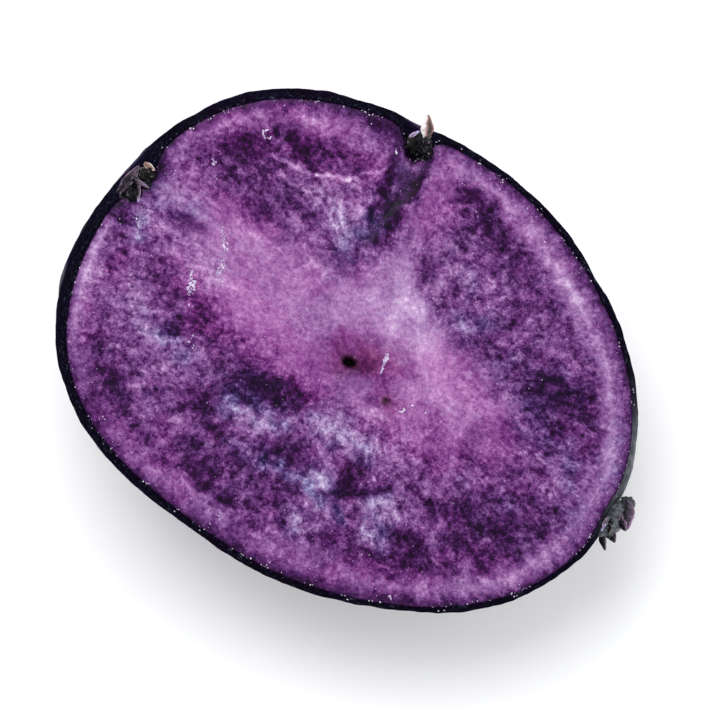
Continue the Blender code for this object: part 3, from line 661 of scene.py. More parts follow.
def ring_paleness(angle, inside, ring_depth):
    """A broad bell across the rind, broken into streaks along the edge, and a thin one where it is palest."""
    shows = sum(pale * bell(turned_from(angle, at) / wide) for at, wide, pale in RING_MARKS)
    middle = ring_depth * (RING_MIDDLE + RING_WAVERS * noise_round(angle, 9, 8))
    away = (inside - middle) / ring_depth
    broken = 0.85 + 0.25 * noise_round(angle, 22, 10) + 0.30 * soft_noise(angle * 11, inside / 0.42, 19)
    return shows * (BROAD_RING * broken * bell(away / BROAD_WIDTH) + THIN_RING * bell(away / THIN_WIDTH))


example = strokes(np.zeros(1), np.full(1, 0.5), [(-1, 0, 1, 0, 1, 1)])
print("half-way out from the middle line of a stroke of strength 1:", example.round(2))


# %% Fields of the flesh, one value for each point of the cut
def flesh_fields(u, v):
    """Tone from dark 0 to pale 1, then the shares of pink, blue, coarse grain and browning, at each point."""
    angle, from_middle, inside = np.arctan2(v, u), np.hypot(u, v), edge_distance(u, v)
    ring_depth = wave_sum(RING_DEPTHS, angle)
    ring_off = inside - ring_depth + RIND_RAGGED * noise_round(angle, 16, 9)
    rind = 1 / (1 + np.exp(ring_off / RIND_BLUR))
    moved = shaken(u, v, 1)
    smooth = strokes(*moved, PITH_STROKES).clip(0, 1)
    marbled = (1 - smooth) * (1 - rind)
    spokes_show = np.clip((from_middle - SPOKES_FROM) / (SPOKES_FULL - SPOKES_FROM), 0, 1)
    spokes = soft_noise(angle * SPOKES, from_middle / SPOKE_LENGTH, 14) * spokes_show
    tone = MIDDLE_TONE + PITH_TONE * smooth - DARK_WEIGHT * strokes(*moved, DARK_STROKES)
    tone = tone + strokes(*moved, PALE_STROKES) + strokes(*shaken(u, v, 0.3), THREAD_STROKES)
    clouds = np.tanh(1.7 * (noise_sum(u, v, CLOUDS) + 0.3 * spokes))
    tone = tone + (CLOUD_TONE + CLOUD_MARBLED * marbled + CLOUD_RIND * rind) * clouds
    islands = np.tanh(4 * noise_sum(u, v, ISLANDS))
    tone = tone + (ISLAND_MARBLED * marbled + ISLAND_RIND * rind) * islands
    belt = wave_sum(BELT_DARKNESS, angle) * bell((ring_off - BELT_INSIDE) / BELT_WIDTH)
    ring = ring_paleness(angle, inside, ring_depth)
    tone = tone + wave_sum(RIND_TONES, angle) * rind + ring - belt
    shade = wave_sum(EDGE_SHADES, angle).clip(0.4) * (1 + 0.3 * noise_round(angle, 60, 17))
    tone = tone - EDGE_DARKNESS * np.exp(-((inside.clip(0) / shade) ** 1.5))
    pink = MIDDLE_PINK + strokes(*moved, PINK_STROKES) + PINK_RIND * rind
    pink = pink + PINK_MARBLED * marbled * soft_noise(u / 2.1, v / 2.1, 15)
    blue = strokes(*moved, BLUE_STROKES) * (0.75 + 0.6 * soft_noise(u / 1.4, v / 1.0, 16))
    tone = tone + BLUE_TONE * (blue - BLUE_FROM).clip(0, 1) * (0.9 + 0.8 * islands)
    brown = strokes(*moved, BROWN_STROKES)
    grainy = marbled + 0.5 * rind - 1.2 * ring
    return [field.clip(0, 1) for field in (tone, pink, blue, grainy, brown)]


sample = flesh_fields(np.array([-10.0, -11.0]), np.array([5.0, -10.0]))
print("tone in the pith and in a cloud", sample[0].round(2))

# %% [markdown]
# ## Painting the fields onto the flesh
#
# Each field becomes a named attribute, one number for each point, which the shader can read wherever
# the piece is moved. A vector attribute holds the direction of the cell rows: it runs round the middle
# in its first two numbers and outwards in its third, so that noise on it makes short rays that point
# at the pith, with no seam where the angle starts again.

# %% Build the flesh
RAY_COUNT, RAY_LENGTH = 24.0, 3.0  # noise steps per radian, and mm of one ray
PITH_STRETCH, PITH_V = 0.55, 3.0  # the rays point at a middle that is drawn out along U, at this V
RAYS_FROM, RAYS_FULL = 7, 19  # mm across the tuber from that middle


def rays(u, v):
    """Count * cos(angle), count * sin(angle) and distance / length, about the drawn-out middle."""
    angle, away = np.arctan2(v - PITH_V, PITH_STRETCH * u), np.hypot(u, v)
    return np.stack([RAY_COUNT * np.cos(angle), RAY_COUNT * np.sin(angle), away / RAY_LENGTH], axis=-1)


def ray_share(u, v):
    """How much of the rays shows: none near the drawn-out middle, and all of them far from it."""
    return np.clip((np.hypot(PITH_STRETCH * u * 1.3, v - PITH_V) - RAYS_FROM) / (RAYS_FULL - RAYS_FROM), 0, 1)


def hollow_share(u, v):
    """How deep in one of the pits a point lies, from 0 to 1."""
    return sum(pit[4] / PITS[0][4] * pit_share(u, v, pit) for pit in PITS)


flesh_points = np.concatenate([[centre], flesh_rings.reshape(-1, 3), [deepest]])
flesh_u, flesh_v = flesh_points[:, 0], flesh_points[:, 1]
flesh_paint = dict(zip(("tone", "pink", "blue", "grainy", "brown"), flesh_fields(flesh_u, flesh_v)))
for title, painter in (("hollow", hollow_share), ("rays", rays), ("ray_share", ray_share)):
    flesh_paint[title] = painter(flesh_u, flesh_v)
flesh_shell = (to_world(centre), above_table(to_world(flesh_rings), FLESH_SUNK), to_world(deepest))
flesh = new_piece("cut_flesh_body", [flesh_shell], {title: [values] for title, values in flesh_paint.items()})
print("tone from", flesh_paint["tone"].min().round(2), "to", flesh_paint["tone"].max().round(2))

# %% [markdown]
# ## The skin as a thin shell
#
# Potato skin is a corky layer a third of a millimetre thick. At the cut it shows as a dark line, and
# from there it runs down over the back. It is a closed shell, with an outer wall, an inner wall and a
# slightly rolled lip at the cut, where its thickness is true. Further down nobody sees the inner wall,
# so it keeps clear of the eyes and needs few rows. Between the eyes the skin is a little dented and
# wrinkled, from noise of 5, 2 and 1 mm. Three things are painted on it: the pits of the eyes, which
# set a painted shade; how near the cut a point is, with a ragged border, which sets a painted shade
# below the cut; and a stretch beside the lowest shoot that gets dust and a painted grey sheen.

# %% Grid of the skin
SKIN_ROWS, INNER_ROWS = 118, 8
LIP = ((0.35, -0.30), (0.33, -0.06), (0.26, 0.03), (0.15, 0.05), (0.05, 0.0), (0.0, -0.12))  # inwards, W
WRINKLES = (  # height in mm, steps along U and V, how far W slides U and V along, and seed
    (0.16, 5, 5, 0.7, -0.9, 61), (0.10, 2.1, 1.6, -0.8, 0.7, 62), (0.05, 1.1, 1.1, 0.6, -0.7, 65),
)
# The next line sets how far the painted shade under the cut reaches and how ragged its border is.
SHADE_REACH, SHADE_RAGGED = 13.0, 1.6  # mm below the cut at which near_cut is down to 0.37, and how uneven
# A stretch of skin beside the lowest shoot gets dust and a painted grey sheen, placed by the next two lines.
DUST_AND_SHEEN_AT, DUST_AND_SHEEN_WIDE = 11.0, 9.0  # degrees from +U of a dusty stretch, and its half-width
DUST_AND_SHEEN_LOW, DUST_AND_SHEEN_HIGH = -3.5, 4  # W of its middle, and its half-height


def wrinkles(points):
    """Three heights of noise, read at U and V that are slid along by W, so that it also changes downwards."""
    u, v, w = points[..., 0], points[..., 1], points[..., 2]
    return sum(
        height * soft_noise((u + slide_u * w) / step_u, (v + slide_v * w) / step_v, seed)
        for height, step_u, step_v, slide_u, slide_v, seed in WRINKLES
    )


def outer_skin(angle, share):
    """The back with its lumps, eyes, sleeping buds and wrinkles, and each point's share of an eye's pit."""
    points = smooth_back(angle, share)
    height = lump_height(points, share) + wrinkles(points) * np.clip(share / 0.05, 0, 1)
    pits = 0 * height
    for place in eye_places():
        eye, pit = eye_parts(points, *place)
        height, pits = height + eye, np.maximum(pits, pit)
    return points + outward(points) * height[..., None], pits


lip_rings = [
    np.stack([(edge - inwards) * np.cos(angles), (edge - inwards) * np.sin(angles), np.full(ROUND, w)], -1)
    for inwards, w in LIP
]
skin_shares = np.linspace(0, 1, SKIN_ROWS + 1)[1:-1]
outer_rings, outer_pits = outer_skin(angles[None, :], skin_shares[:, None])
inner_shares = np.linspace(1, 0, INNER_ROWS + 1)[1:-1]
inner_rings = sunk_back(angles[None, :], inner_shares[:, None], SKIN_SUNK)
skin_rings = np.concatenate([inner_rings, lip_rings, outer_rings])
skin_lowest = [SKIN_SUNK] * len(inner_rings) + [0.0] * (len(lip_rings) + len(outer_rings))
skin_world = above_table(to_world(skin_rings), np.array(skin_lowest)[:, None])
tip, _ = outer_skin(np.zeros(1), np.ones(1))
print("rows on the skin", len(outer_rings), "and on its lip", len(LIP))

# %% Build the skin
pits_painted = np.concatenate([np.zeros((len(inner_rings) + len(LIP)) * ROUND), outer_pits.ravel()])
skin_u, skin_v, skin_w = np.moveaxis(skin_rings, -1, 0)
# How far below the cut a point lies, made ragged: it sets the painted shade that darkens the skin under the
# cut.
shade_depth = skin_w + SHADE_RAGGED * (soft_noise(skin_u / 3 + 40, skin_v / 3, 63) - 0.3)
near_cut = bell(shade_depth.clip(None, 0) / SHADE_REACH)
# Dust with a painted grey sheen beside the lowest shoot.
dust_and_sheen_off = turned_from(np.arctan2(skin_v, skin_u), DUST_AND_SHEEN_AT) / DUST_AND_SHEEN_WIDE
dust_and_sheen = np.exp(-(dust_and_sheen_off**2) - ((skin_w - DUST_AND_SHEEN_LOW) / DUST_AND_SHEEN_HIGH) ** 2)
dust_and_sheen = dust_and_sheen * (1.1 + 0.6 * soft_noise(skin_u / 0.9 + skin_w, skin_v / 0.9, 64))
skin_paint = {"eye_pit": pits_painted, "near_cut": near_cut, "dust_and_sheen": dust_and_sheen.clip(0, 1)}
inner_end = sunk_back(np.zeros(1), np.ones(1), SKIN_SUNK)[0]
skin_shell = (to_world(inner_end), skin_world, above_table(to_world(tip[0]), 0))
skin = new_piece("potato_skin_shell", [skin_shell], {
    title: [np.concatenate([[0], values.ravel(), [0]])] for title, values in skin_paint.items()
})

# %% [markdown]
# ## Shoots
#
# Three eyes sit on the edge of the cut and have begun to sprout. Each shoot is a cluster of knobbly dark
# buds with a few scale leaves that hug them, papery, cupped and paler along their rims. A scale is a
# flat lens carried along a bent midrib: its half-width follows a leaf's outline, and its sides curl up.
# Buds are round, with noise pushing them out in knobs and faint rings where leaves are folded in them.

# %% Shape of a scale
SCALE_ROWS, SCALE_ROUND = 22, 28
LENS_THICK, LENS_THIN, KEEL, KEEL_WIDTH = 0.14, 0.05, 0.15, 0.12  # mm, and the last one a share of the width
FRAYED, CRINKLED = 0.14, 0.12  # share by which a scale's outline wavers, and mm by which it waves


def unit(vector):
    """The vector at length 1."""
    return vector / np.linalg.norm(vector)


def direction(turn, rise):
    """A unit vector at a turn from +U and a rise above the cut, both in degrees."""
    a, b = math.radians(turn), math.radians(rise)
    return np.array([math.cos(b) * math.cos(a), math.cos(b) * math.sin(a), math.sin(b)])


def scale_shell(root, along, across, length, width, curl, cup, seed):
    """Rings of a lens along a midrib that bends back by curl * t^2, with sides lifted by cup * x^2 / width.

    The half-width goes as (1 - t^2.4)^0.75 and swells from 0.45 to 1 over the first two fifths.
    """
    inner = unit(np.cross(along, across))
    t = np.linspace(0, 0.995, SCALE_ROWS)[:, None]
    turn = full_turn(SCALE_ROUND)[None, :]
    outline = (1 - t**2.4) ** 0.75 * (0.45 + 0.55 * blend_in(np.clip(t / 0.4, 0, 1)))
    frayed = 1 + FRAYED * soft_noise(t * 7 + 3 * (turn > math.pi), 0 * turn + seed, 51)
    x = np.cos(turn) * outline * frayed * width / 2
    thick = LENS_THICK * (1 - t**2) + LENS_THIN
    y = np.sin(turn) * thick * (1 - 0.5 * np.abs(np.cos(turn))) + cup * x**2 / width
    keel = KEEL * bell(x / (KEEL_WIDTH * width)) * (1 - t)
    y = y - keel * np.where(np.sin(turn) > 0, 1.0, -0.3)
    crinkle = CRINKLED * soft_noise(t * 6, np.cos(turn) * 1.6 + seed, 52)
    middle = root + along * length * t[..., None] - inner * length * curl * t[..., None] ** 2
    rings = middle + across * x[..., None] + inner * (y + crinkle)[..., None]
    rim = np.clip(1.1 * np.abs(np.cos(turn)) ** 4 * (0.4 + t) + 0.7 * t**5, 0, 1) + 0 * x
    return (middle[0, 0], rings, rings[-1].mean(axis=0)), rim, np.cos(turn) + 0 * x


print("a scale has", SCALE_ROWS * SCALE_ROUND + 2, "points")

# %% Shape of a bud
BUD_ROWS, BUD_ROUND, BUD_TALLER = 20, 32, 1.1
BUD_RINGS, BUD_RING_HEIGHT = 9, 0.05  # how fast the small sine turns, and its height over the radius


def bud_shell(middle, radius, up, knobbly, seed):
    """A ball, taller along up, with its radius times 1 + noise round and along it + a small sine along it."""
    side = unit(np.cross(up, [0.3, 0.2, 1.0]))
    front = np.cross(up, side)
    lift = np.linspace(-math.pi / 2, math.pi / 2, BUD_ROWS + 2)[1:-1, None]
    turn = full_turn(BUD_ROUND)[None, :]
    knobs = soft_noise(2.2 * np.cos(turn) + 9, 2.2 * np.sin(turn) + lift * 2.4 + seed, 53)
    rings_on_it = BUD_RING_HEIGHT * np.sin(BUD_RINGS * lift + turn + seed)
    size = radius * (1 + np.cos(lift) ** 0.5 * (knobbly * knobs + rings_on_it))
    rings = middle + size[..., None] * (
        np.cos(lift)[..., None] * (np.cos(turn)[..., None] * side + np.sin(turn)[..., None] * front)
        + BUD_TALLER * np.sin(lift)[..., None] * up
    )
    top = BUD_TALLER * radius * up
    return (middle - top, rings, middle + top), 0.5 + 0.5 * knobs + 0 * size


print("a bud has", BUD_ROWS * BUD_ROUND + 2, "points")

# %% [markdown]
# ## Placing the shoots
#
# Every bud is given by U, V and W, its radius and how grey it is, because some are dusty and dry. A scale
# is given by the place of its root, its turn from +U, its rise from the cut, its length and width, how
# it curls back and how it cups, how pale each half of it is, and whether it has any violet left: one
# that has begun to dry turns from nearly black to a mauve, and at last to tan. Soil fills the dents
# between knobs, so the greyer a bud is, the smoother it is made.

# %% Places and sizes of buds and scales
SHOOTS = {
    "notch_shoot": (
        ((-8.4, 33.3, -2.2, 2.2, 0), (-8.5, 34.3, -0.9, 1.5, 0), (-7.0, 33.5, -0.3, 1.1, 0),
         (-9.6, 33.3, -0.4, 1.05, 0), (-8.1, 35.1, -0.1, 0.8, 0.1)),
        ((-8.1, 35.2, 0.5, 118, 20, 3.9, 2.2, 0.05, 0.5, 1.15, 0.62, 0),
         # The next small scale, pale on both halves, stands for a painted highlight in the shoot.
         (-10.5, 34.0, 0.3, 62, 20, 1.9, 0.65, 0.1, 0.5, 1.1, 0.95, 1),
         (-8.7, 34.6, 0.4, 10, 10, 1.5, 0.8, 0.1, 0.5, 0.5, 0.4, 1),
         (-6.9, 32.7, 0.2, -40, 50, 1.2, 1.4, 0.1, 0.8, 0.05, 0.2, 1)),
    ),
    "side_shoot": (
        ((-42.6, 6.4, -1.8, 2.2, 0), (-42.2, 8.1, -0.1, 1.3, 0), (-42.5, 4.6, -0.2, 1.3, 0),
         (-43.4, 6.4, -0.5, 1.0, 0)),
        ((-44.5, 3.4, 0.1, 84, 4, 5.4, 1.7, 0.04, 0.9, 0.48, 0.55, 1),
         (-43.5, 9.4, 0.3, -2, 18, 2.1, 1.1, 0.1, 0.5, 0.9, 0.8, 0),
         (-43.4, 6.6, 0.7, -2, 8, 2.6, 0.55, 0.1, 0.7, 0.8, 0.65, 1),
         (-42.6, 6.5, 0.6, -62, 5, 3.2, 0.65, -0.1, 0.5, 0.75, 0.65, 1),
         (-43.9, 8.4, 0.3, -75, 8, 2.2, 0.5, 0.1, 0.6, 0.75, 0.6, 1),
         (-43.6, 4.3, -0.2, -100, 25, 1.5, 1.3, 0.2, 0.6, 0.15, 0.3, 1)),
    ),
    "stalk_shoot": (
        ((46.9, -0.4, -3.8, 2.4, 0.4), (48.2, 2.8, -2.6, 1.15, 0.45), (47.3, -1.3, -2.1, 1.75, 0.9),
         (46.7, -2.7, -2.2, 1.15, 0.8), (47.0, 1.0, -2.2, 1.5, 0.8), (48.5, 0.3, -2.8, 1.3, 0.1),
         (47.9, -2.3, -2.4, 1.1, 0.7)),
        ((47.9, 3.3, -1.5, -60, 10, 4.6, 2.3, 0.06, 0.5, 0.62, 0.42, 1),
         (48.1, 0.2, -1.1, -30, 8, 2.3, 1.6, 0.1, 0.5, 0.55, 0.2, 1),
         (47.6, -2.1, -1.7, -32, 6, 2.4, 1.6, 0.1, 0.5, 0.52, 0.2, 1),
         (46.8, -3.1, -2.2, -44, 0, 3.1, 1.2, 0.1, 0.5, 0.50, 0.15, 1),
         (46.3, -0.7, -0.5, -78, 4, 2.3, 0.6, 0.2, 0.6, 1.0, 0.8, 1),
         (47.0, -0.4, -0.4, -70, 6, 2.6, 0.9, 0.2, 0.6, 0.3, 0.1, 0),
         (46.9, 2.2, -1.0, -62, 4, 3.2, 0.8, 0.1, 0.6, 0.6, 0.3, 1)),
    ),
}

print({name: (len(buds), len(scales)) for name, (buds, scales) in SHOOTS.items()})


# %% Build the shoots
BUD_KNOBBLY, SOIL_SMOOTHS = 0.18, 0.06  # height of a bud's knobs over its radius, and how soil lowers them
BUD_PALE, RIM_PALE, BLADE_DARK = 0.16, 0.45, 0.25  # what knobs and rims add to the paleness, and blades lose


def shoot_piece(name, buds, scales):
    """The buds and scales as closed shells of one piece, painted with how pale, grey and violet they are."""
    shells, pale, grey, violet = [], [], [], []

    def keep(shell, paleness, greyness, purple):
        first, rings, last = shell
        shells.append((to_world(first), to_world(rings), to_world(last)))
        painted = np.clip(paleness, 0, 1).ravel()
        pale.append(np.concatenate([[painted[0]], painted, [painted[-1]]]))
        grey.append(np.full(len(painted) + 2, greyness))
        violet.append(np.full(len(painted) + 2, purple))

    out = unit(np.array([*buds[0][:2], 0.0]))
    for i, (u, v, w, radius, greyness) in enumerate(buds):
        knobbly = BUD_KNOBBLY - SOIL_SMOOTHS * greyness
        shell, knobs = bud_shell(np.array([u, v, w]), radius, unit(out + [0, 0, 1.2]), knobbly, 3.0 + i)
        keep(shell, BUD_PALE * knobs, greyness, 0.0)
    for i, (u, v, w, turn, rise, length, width, curl, cup, left, right, purple) in enumerate(scales):
        along, across = direction(turn, rise), direction(turn + 90, 0)
        shell, rim, side = scale_shell(np.array([u, v, w]), along, across, length, width, curl, cup, 2.0 * i)
        half = 0.5 - 0.5 * np.clip(3 * side, -1, 1)
        keep(shell, RIM_PALE * rim + left + (right - left) * half - BLADE_DARK, 0.0, purple)
    return new_piece(name, shells, {"pale": pale, "grey": grey, "violet": violet})


shoots = [shoot_piece(name, *parts) for name, parts in SHOOTS.items()]

# %% [markdown]
# ## Starch, droplets and painted glints
#
# A fresh cut weeps a little sap, and the sap is full of starch. Where it gathers it leaves pale crumbs
# and tiny droplets: trails across the pith, a streak beside the pit, specks all over and more of them
# in the rind and along the torn edge of the skin. Their whiteness is starch in part and painted glints
# in part, and one crescent of crumbs is the painted highlight on a droplet. Each crumb is a low, slightly
# three-lobed dome with a few dozen faces, half sunk into the flesh. Only the trails and that crescent
# are given one by one. Crumbs are strewn along them, and specks drawn at random, all with one fixed seed.

# %% Where starch and droplets lie
DOME_ROUND, DOME_ROWS, DOME_LOW, DOME_TOP = 8, 3, -35, 60  # the last two: degrees of lift of its rings
DOME_HEIGHT, DOME_LOBES = 0.45, 0.22  # shares of its half-width and of its radius
TRAILS = (  # U, V to U, V, how far crumbs stray to the sides, how many, and the largest half-length
    (4.0, 3.5, 4.3, 1.9, 0.09, 20, 0.30), (4.3, 1.9, 4.6, 0.5, 0.09, 16, 0.22),
    (10.1, -3.2, 10.9, -2.2, 0.22, 9, 0.26), (11.1, -2.0, 11.5, -1.3, 0.15, 5, 0.18),
    (-28.2, 7.2, -26.5, 5.2, 0.20, 14, 0.20), (-26.5, 5.2, -25.2, 3.0, 0.22, 22, 0.26),
    (-25.2, 3.0, -24.9, 0.2, 0.20, 22, 0.24), (-28.9, -1.0, -28.0, -2.6, 0.25, 12, 0.24),
    (-28.0, -2.6, -26.9, -4.4, 0.34, 18, 0.34), (-26.4, -5.7, -25.6, -6.4, 0.2, 4, 0.18),
    (-23.8, -9.4, -22.0, -11.8, 0.3, 9, 0.20), (-34.7, 15.7, -34.1, 14.8, 0.2, 6, 0.26),
    (-39.6, 2.0, -39.3, 0.6, 0.25, 9, 0.26), (-38.8, -0.2, -38.4, -1.2, 0.25, 8, 0.28),
    (-11.4, 31.3, -10.8, 30.9, 0.15, 4, 0.2), (23.6, -28.5, 24.2, -28.8, 0.1, 3, 0.25),
    (13.2, -0.9, 14.8, -2.3, 0.3, 5, 0.14), (-13.2, 1.2, -9.0, 0.2, 0.5, 6, 0.13),
)
# A crescent of pale crumbs that stands for the painted highlight on a droplet: U, V, radius, crumbs.
DROPLET_HIGHLIGHT = (-29.4, 23.1, 0.72, 14)  # a droplet that has dried to a crescent of crumbs: U, V, radius, crumbs
DROPLET_HIGHLIGHT_FROM, DROPLET_HIGHLIGHT_TURN = 130, 210  # degrees
SPECKS, SPECK_LEAST, SPECK_MOST = 420, 0.05, 0.13  # how many, and mm of their half-lengths
SPECKS_NEAR_RIND, RIND_FROM, RIND_TO, MIDDLE = 0.62, 0.7, 4.5, 34  # share of them, and mm inside the edge
# Crumbs along the torn edge of the skin are starch in part and painted glints in part.
LIP_CRUMBS_AND_GLINTS, LIP_LEAST, LIP_MOST = 270, 0.06, 0.20  # caught along the torn edge of the skin, in clusters
print(sum(trail[5] for trail in TRAILS), "crumbs in", len(TRAILS), "trails")


# %% Domes, and places to put them
def dome_shells(places):
    """Closed domes: rings of a three-lobed ellipse that shrink as cos(lift) and rise as sin(lift)."""
    lift = np.radians(np.linspace(DOME_LOW, DOME_TOP, DOME_ROWS))[:, None]
    turn = full_turn(DOME_ROUND)[None, :]
    for u, v, half_length, half_width, degrees in places:
        c, s = math.cos(math.radians(degrees)), math.sin(math.radians(degrees))
        lobes = 1 + DOME_LOBES * np.cos(3 * turn + 0.1 * degrees)
        x = np.cos(lift) * np.cos(turn) * half_length * lobes
        y = np.cos(lift) * np.sin(turn) * half_width * lobes
        high = DOME_HEIGHT * half_width
        base = cut_height(np.array([u]), np.array([v]))[0]
        w = base + high * (np.sin(lift) + 0 * turn)
        rings = np.stack([u + c * x - s * y, v + s * x + c * y, w], axis=-1)
        low, top = np.array([u, v, base - high]), np.array([u, v, base + high])
        yield to_world(low), to_world(rings), to_world(top)


def crumb_trail(rng, u0, v0, u1, v1, stray, count, largest):
    """Crumbs strewn evenly along a line, straying to its sides as a bell curve, most of them small."""
    t = (np.arange(count) + rng.uniform(0, 1, count)) / count
    aside = rng.normal(0, stray, count)
    length = math.hypot(u1 - u0, v1 - v0)
    u = u0 + (u1 - u0) * t - (v1 - v0) / length * aside
    v = v0 + (v1 - v0) * t + (u1 - u0) / length * aside
    half_length = 1.2 * largest * rng.uniform(0.3, 1.0, count) ** 1.4
    half_width = half_length * rng.uniform(0.45, 0.8, count)
    along = math.degrees(math.atan2(v1 - v0, u1 - u0))
    return np.column_stack([u, v, half_length, half_width, along + rng.normal(0, 40, count)])


def crumbs_inside(rng, inside, least, most):
    """One crumb for each distance inside the edge, at a random angle, size and turn."""
    count = len(inside)
    angle = rng.uniform(0, 2 * math.pi, count)
    angle = angle + 0.06 * np.sin(23 * angle) + 0.04 * np.sin(61 * angle)
    reach = wave_sum(EDGE_RADII, angle) - edge_dip(angle) - inside
    size = rng.uniform(least, most, (count, 2)) * rng.uniform(0.6, 1.0, (count, 1))
    return np.column_stack([reach * np.cos(angle), reach * np.sin(angle), size, rng.uniform(0, 180, count)])


print("a dome has", DOME_ROWS * DOME_ROUND + 2, "points")

# %% Build the starch
rng = np.random.default_rng(7)
near_rind = rng.random(SPECKS) < SPECKS_NEAR_RIND
in_rind, further_in = rng.uniform(RIND_FROM, RIND_TO, SPECKS), rng.uniform(RIND_TO, MIDDLE, SPECKS)
speck_inside = np.where(near_rind, in_rind, further_in)
turns = np.radians(DROPLET_HIGHLIGHT_FROM + DROPLET_HIGHLIGHT_TURN * np.sort(rng.random(DROPLET_HIGHLIGHT[3])) ** 1.4)
droplet_highlight_crumbs = np.column_stack([
    DROPLET_HIGHLIGHT[0] + DROPLET_HIGHLIGHT[2] * np.cos(turns) + rng.normal(0, 0.08, len(turns)),
    DROPLET_HIGHLIGHT[1] + DROPLET_HIGHLIGHT[2] * np.sin(turns) + rng.normal(0, 0.08, len(turns)),
    rng.uniform(0.14, 0.30, len(turns)), rng.uniform(0.09, 0.16, len(turns)), np.degrees(turns) + 90,
])
crumbs = np.concatenate([
    *(crumb_trail(rng, *trail) for trail in TRAILS), droplet_highlight_crumbs,
    crumbs_inside(rng, speck_inside, SPECK_LEAST, SPECK_MOST),
    crumbs_inside(rng, rng.normal(0.35, 0.22, LIP_CRUMBS_AND_GLINTS), LIP_LEAST, LIP_MOST),
])
starch_and_glints = new_piece("starch_and_glint_crumbs", list(dome_shells(crumbs)), {})

# %% [markdown]
# ## Colours and nodes
#
# Colours are written as sRGB hex values, the way a paint program shows them, and one function turns
# them linear, because that is what Blender's sockets hold. One more function fills a node's inputs, by
# name or in the node's own order: value, from min, from max, to min, to max for a map range, or share,
# colour, colour for a mix. A third adds a node with its settings. A pattern is counted in millimetres:
# its point is the place on the piece in metres, times a thousand, and its scale is 1 over a real size.

# %% Helpers for materials
IN_MM = (1000, 1000, 1000)


def linear(code):
    """An sRGB hex value as linear red, green, blue and 1."""
    channels = [int(code[i : i + 2], 16) / 255 for i in (0, 2, 4)]
    return (*(c / 12.92 if c <= 0.04045 else ((c + 0.055) / 1.055) ** 2.4 for c in channels), 1.0)


def fill(tree, node, inputs):
    """Sets inputs to numbers or hex colours, or links them to sockets or to the first output of nodes."""
    for name, value in inputs.items() if isinstance(inputs, dict) else enumerate(inputs):
        if isinstance(value, bpy.types.Node):
            value = value.outputs[0]
        if isinstance(value, bpy.types.NodeSocket):
            tree.links.new(value, node.inputs[name])
        else:
            node.inputs[name].default_value = linear(value) if isinstance(value, str) else value


def add_node(tree, kind, inputs=(), stops=(), **settings):
    """A node of this kind with its settings, the (place, hex colour) stops of a ramp, and its inputs."""
    made = tree.nodes.new("ShaderNode" + kind)
    for name, value in settings.items():
        setattr(made, name, value)
    for place, code in stops[2:]:
        made.color_ramp.elements.new(place)
    for element, (place, code) in zip(made.color_ramp.elements if stops else (), stops):
        element.position, element.color = place, linear(code)
    fill(tree, made, inputs)
    return made


def new_material(pieces, name, constants):
    """Gives the pieces a material with a Principled shader, whose constant inputs are set."""
    material = bpy.data.materials.new(name)
    material.use_nodes = True
    shader = material.node_tree.nodes["Principled BSDF"]
    fill(material.node_tree, shader, constants)
    for piece in pieces:
        piece.data.materials.append(material)
    return material.node_tree, shader


print("half grey is linear", round(linear("808080")[0], 3))

# %% [markdown]
# ## Raw flesh, cut with a knife
#
# Raw potato is water and starch in thin-walled cells, so it bends light like water, with an IOR of about
# 1.36. A fresh cut is moist and fairly glossy, but the film of sap has mostly soaked in, so the specular
# level stays low and the violet keeps its depth. The cells, 0.1 to 0.3 mm wide, break up what gloss
# there is. Three colour ramps read the same tone: the plain violet of the pigment, its pinker form in
# more acid sap, and its bluish form. The painted fields mix them. Within each stroke the shader adds
# what is too fine for the mesh: grain, flakes of a few cells, islands with crisp borders and thin veins.
# Round the two pits air has browned the flesh, which takes away some of its blue. Their walls darken
# to a maroon, browned in part and painted shade in part, and their floors are painted nearly black as shade.

# %% Material of the flesh
STOPS = (0.0, 0.20, 0.38, 0.55, 0.72, 0.88, 1.0)
VIOLET = ("12031b", "2f0f3e", "532d63", "744e82", "9371a0", "af94b9", "cbb7d0")
MAGENTA = ("1a021e", "3e0b46", "642769", "864887", "a66fa6", "c192bf", "d8b7d7")
BLUISH = ("0e0724", "271745", "49386c", "6c5f8c", "9089ae", "b3adc8", "d5d0e0")
# Maroon for the walls of the pits, browning in part and painted shade in part, and near black for their
# floors, painted shade.
SLOPE_BROWN_AND_SHADE_COLOUR, PIT_SHADE_COLOUR = "48203c", "0e060b"
BROWNING = (0.97, 0.93, 0.72, 1.0)  # what browning lets through of red, green and blue
# Cells are 0.1 to 0.3 mm wide, about one pixel, so their grain, flakes and bumps are drawn coarser to show.
GRAIN_MM, FLAKE_MM, CELL_MM = 0.7, 0.5, 0.42
ISLAND_MM, VEIN_MM, HUE_MM, WET_MM = 1.2, 1.7, 0.6, 2.9  # clumps of cells, vessels, sap, films of water
GRAIN_WEIGHT, FLAKE_WEIGHT, RAY_WEIGHT = 0.75, 0.09, 0.35  # how strongly each one changes the tone
PALE_ISLAND, DARK_ISLAND, VEIN_TONE, HUE_WEIGHT = 0.05, -0.1, 0.09, 1.6
VEIN_WIDTH = 0.022  # how far the noise may be off its middle value within a vein

tree, shader = new_material([flesh], "raw_potato_flesh_knife_cut", {"IOR": 1.36, "Specular IOR Level": 0.2})
in_mm = add_node(tree, "Mapping", {"Vector": add_node(tree, "TexCoord").outputs["Object"], "Scale": IN_MM})
tone, pink, blue, grainy, brown, hollow, ray_place, ray_shows = (
    add_node(tree, "Attribute", attribute_name=title).outputs["Vector" if title == "rays" else "Fac"]
    for title in flesh_paint
)
print("flesh material starts with", len(tree.nodes), "nodes, for", list(flesh_paint))

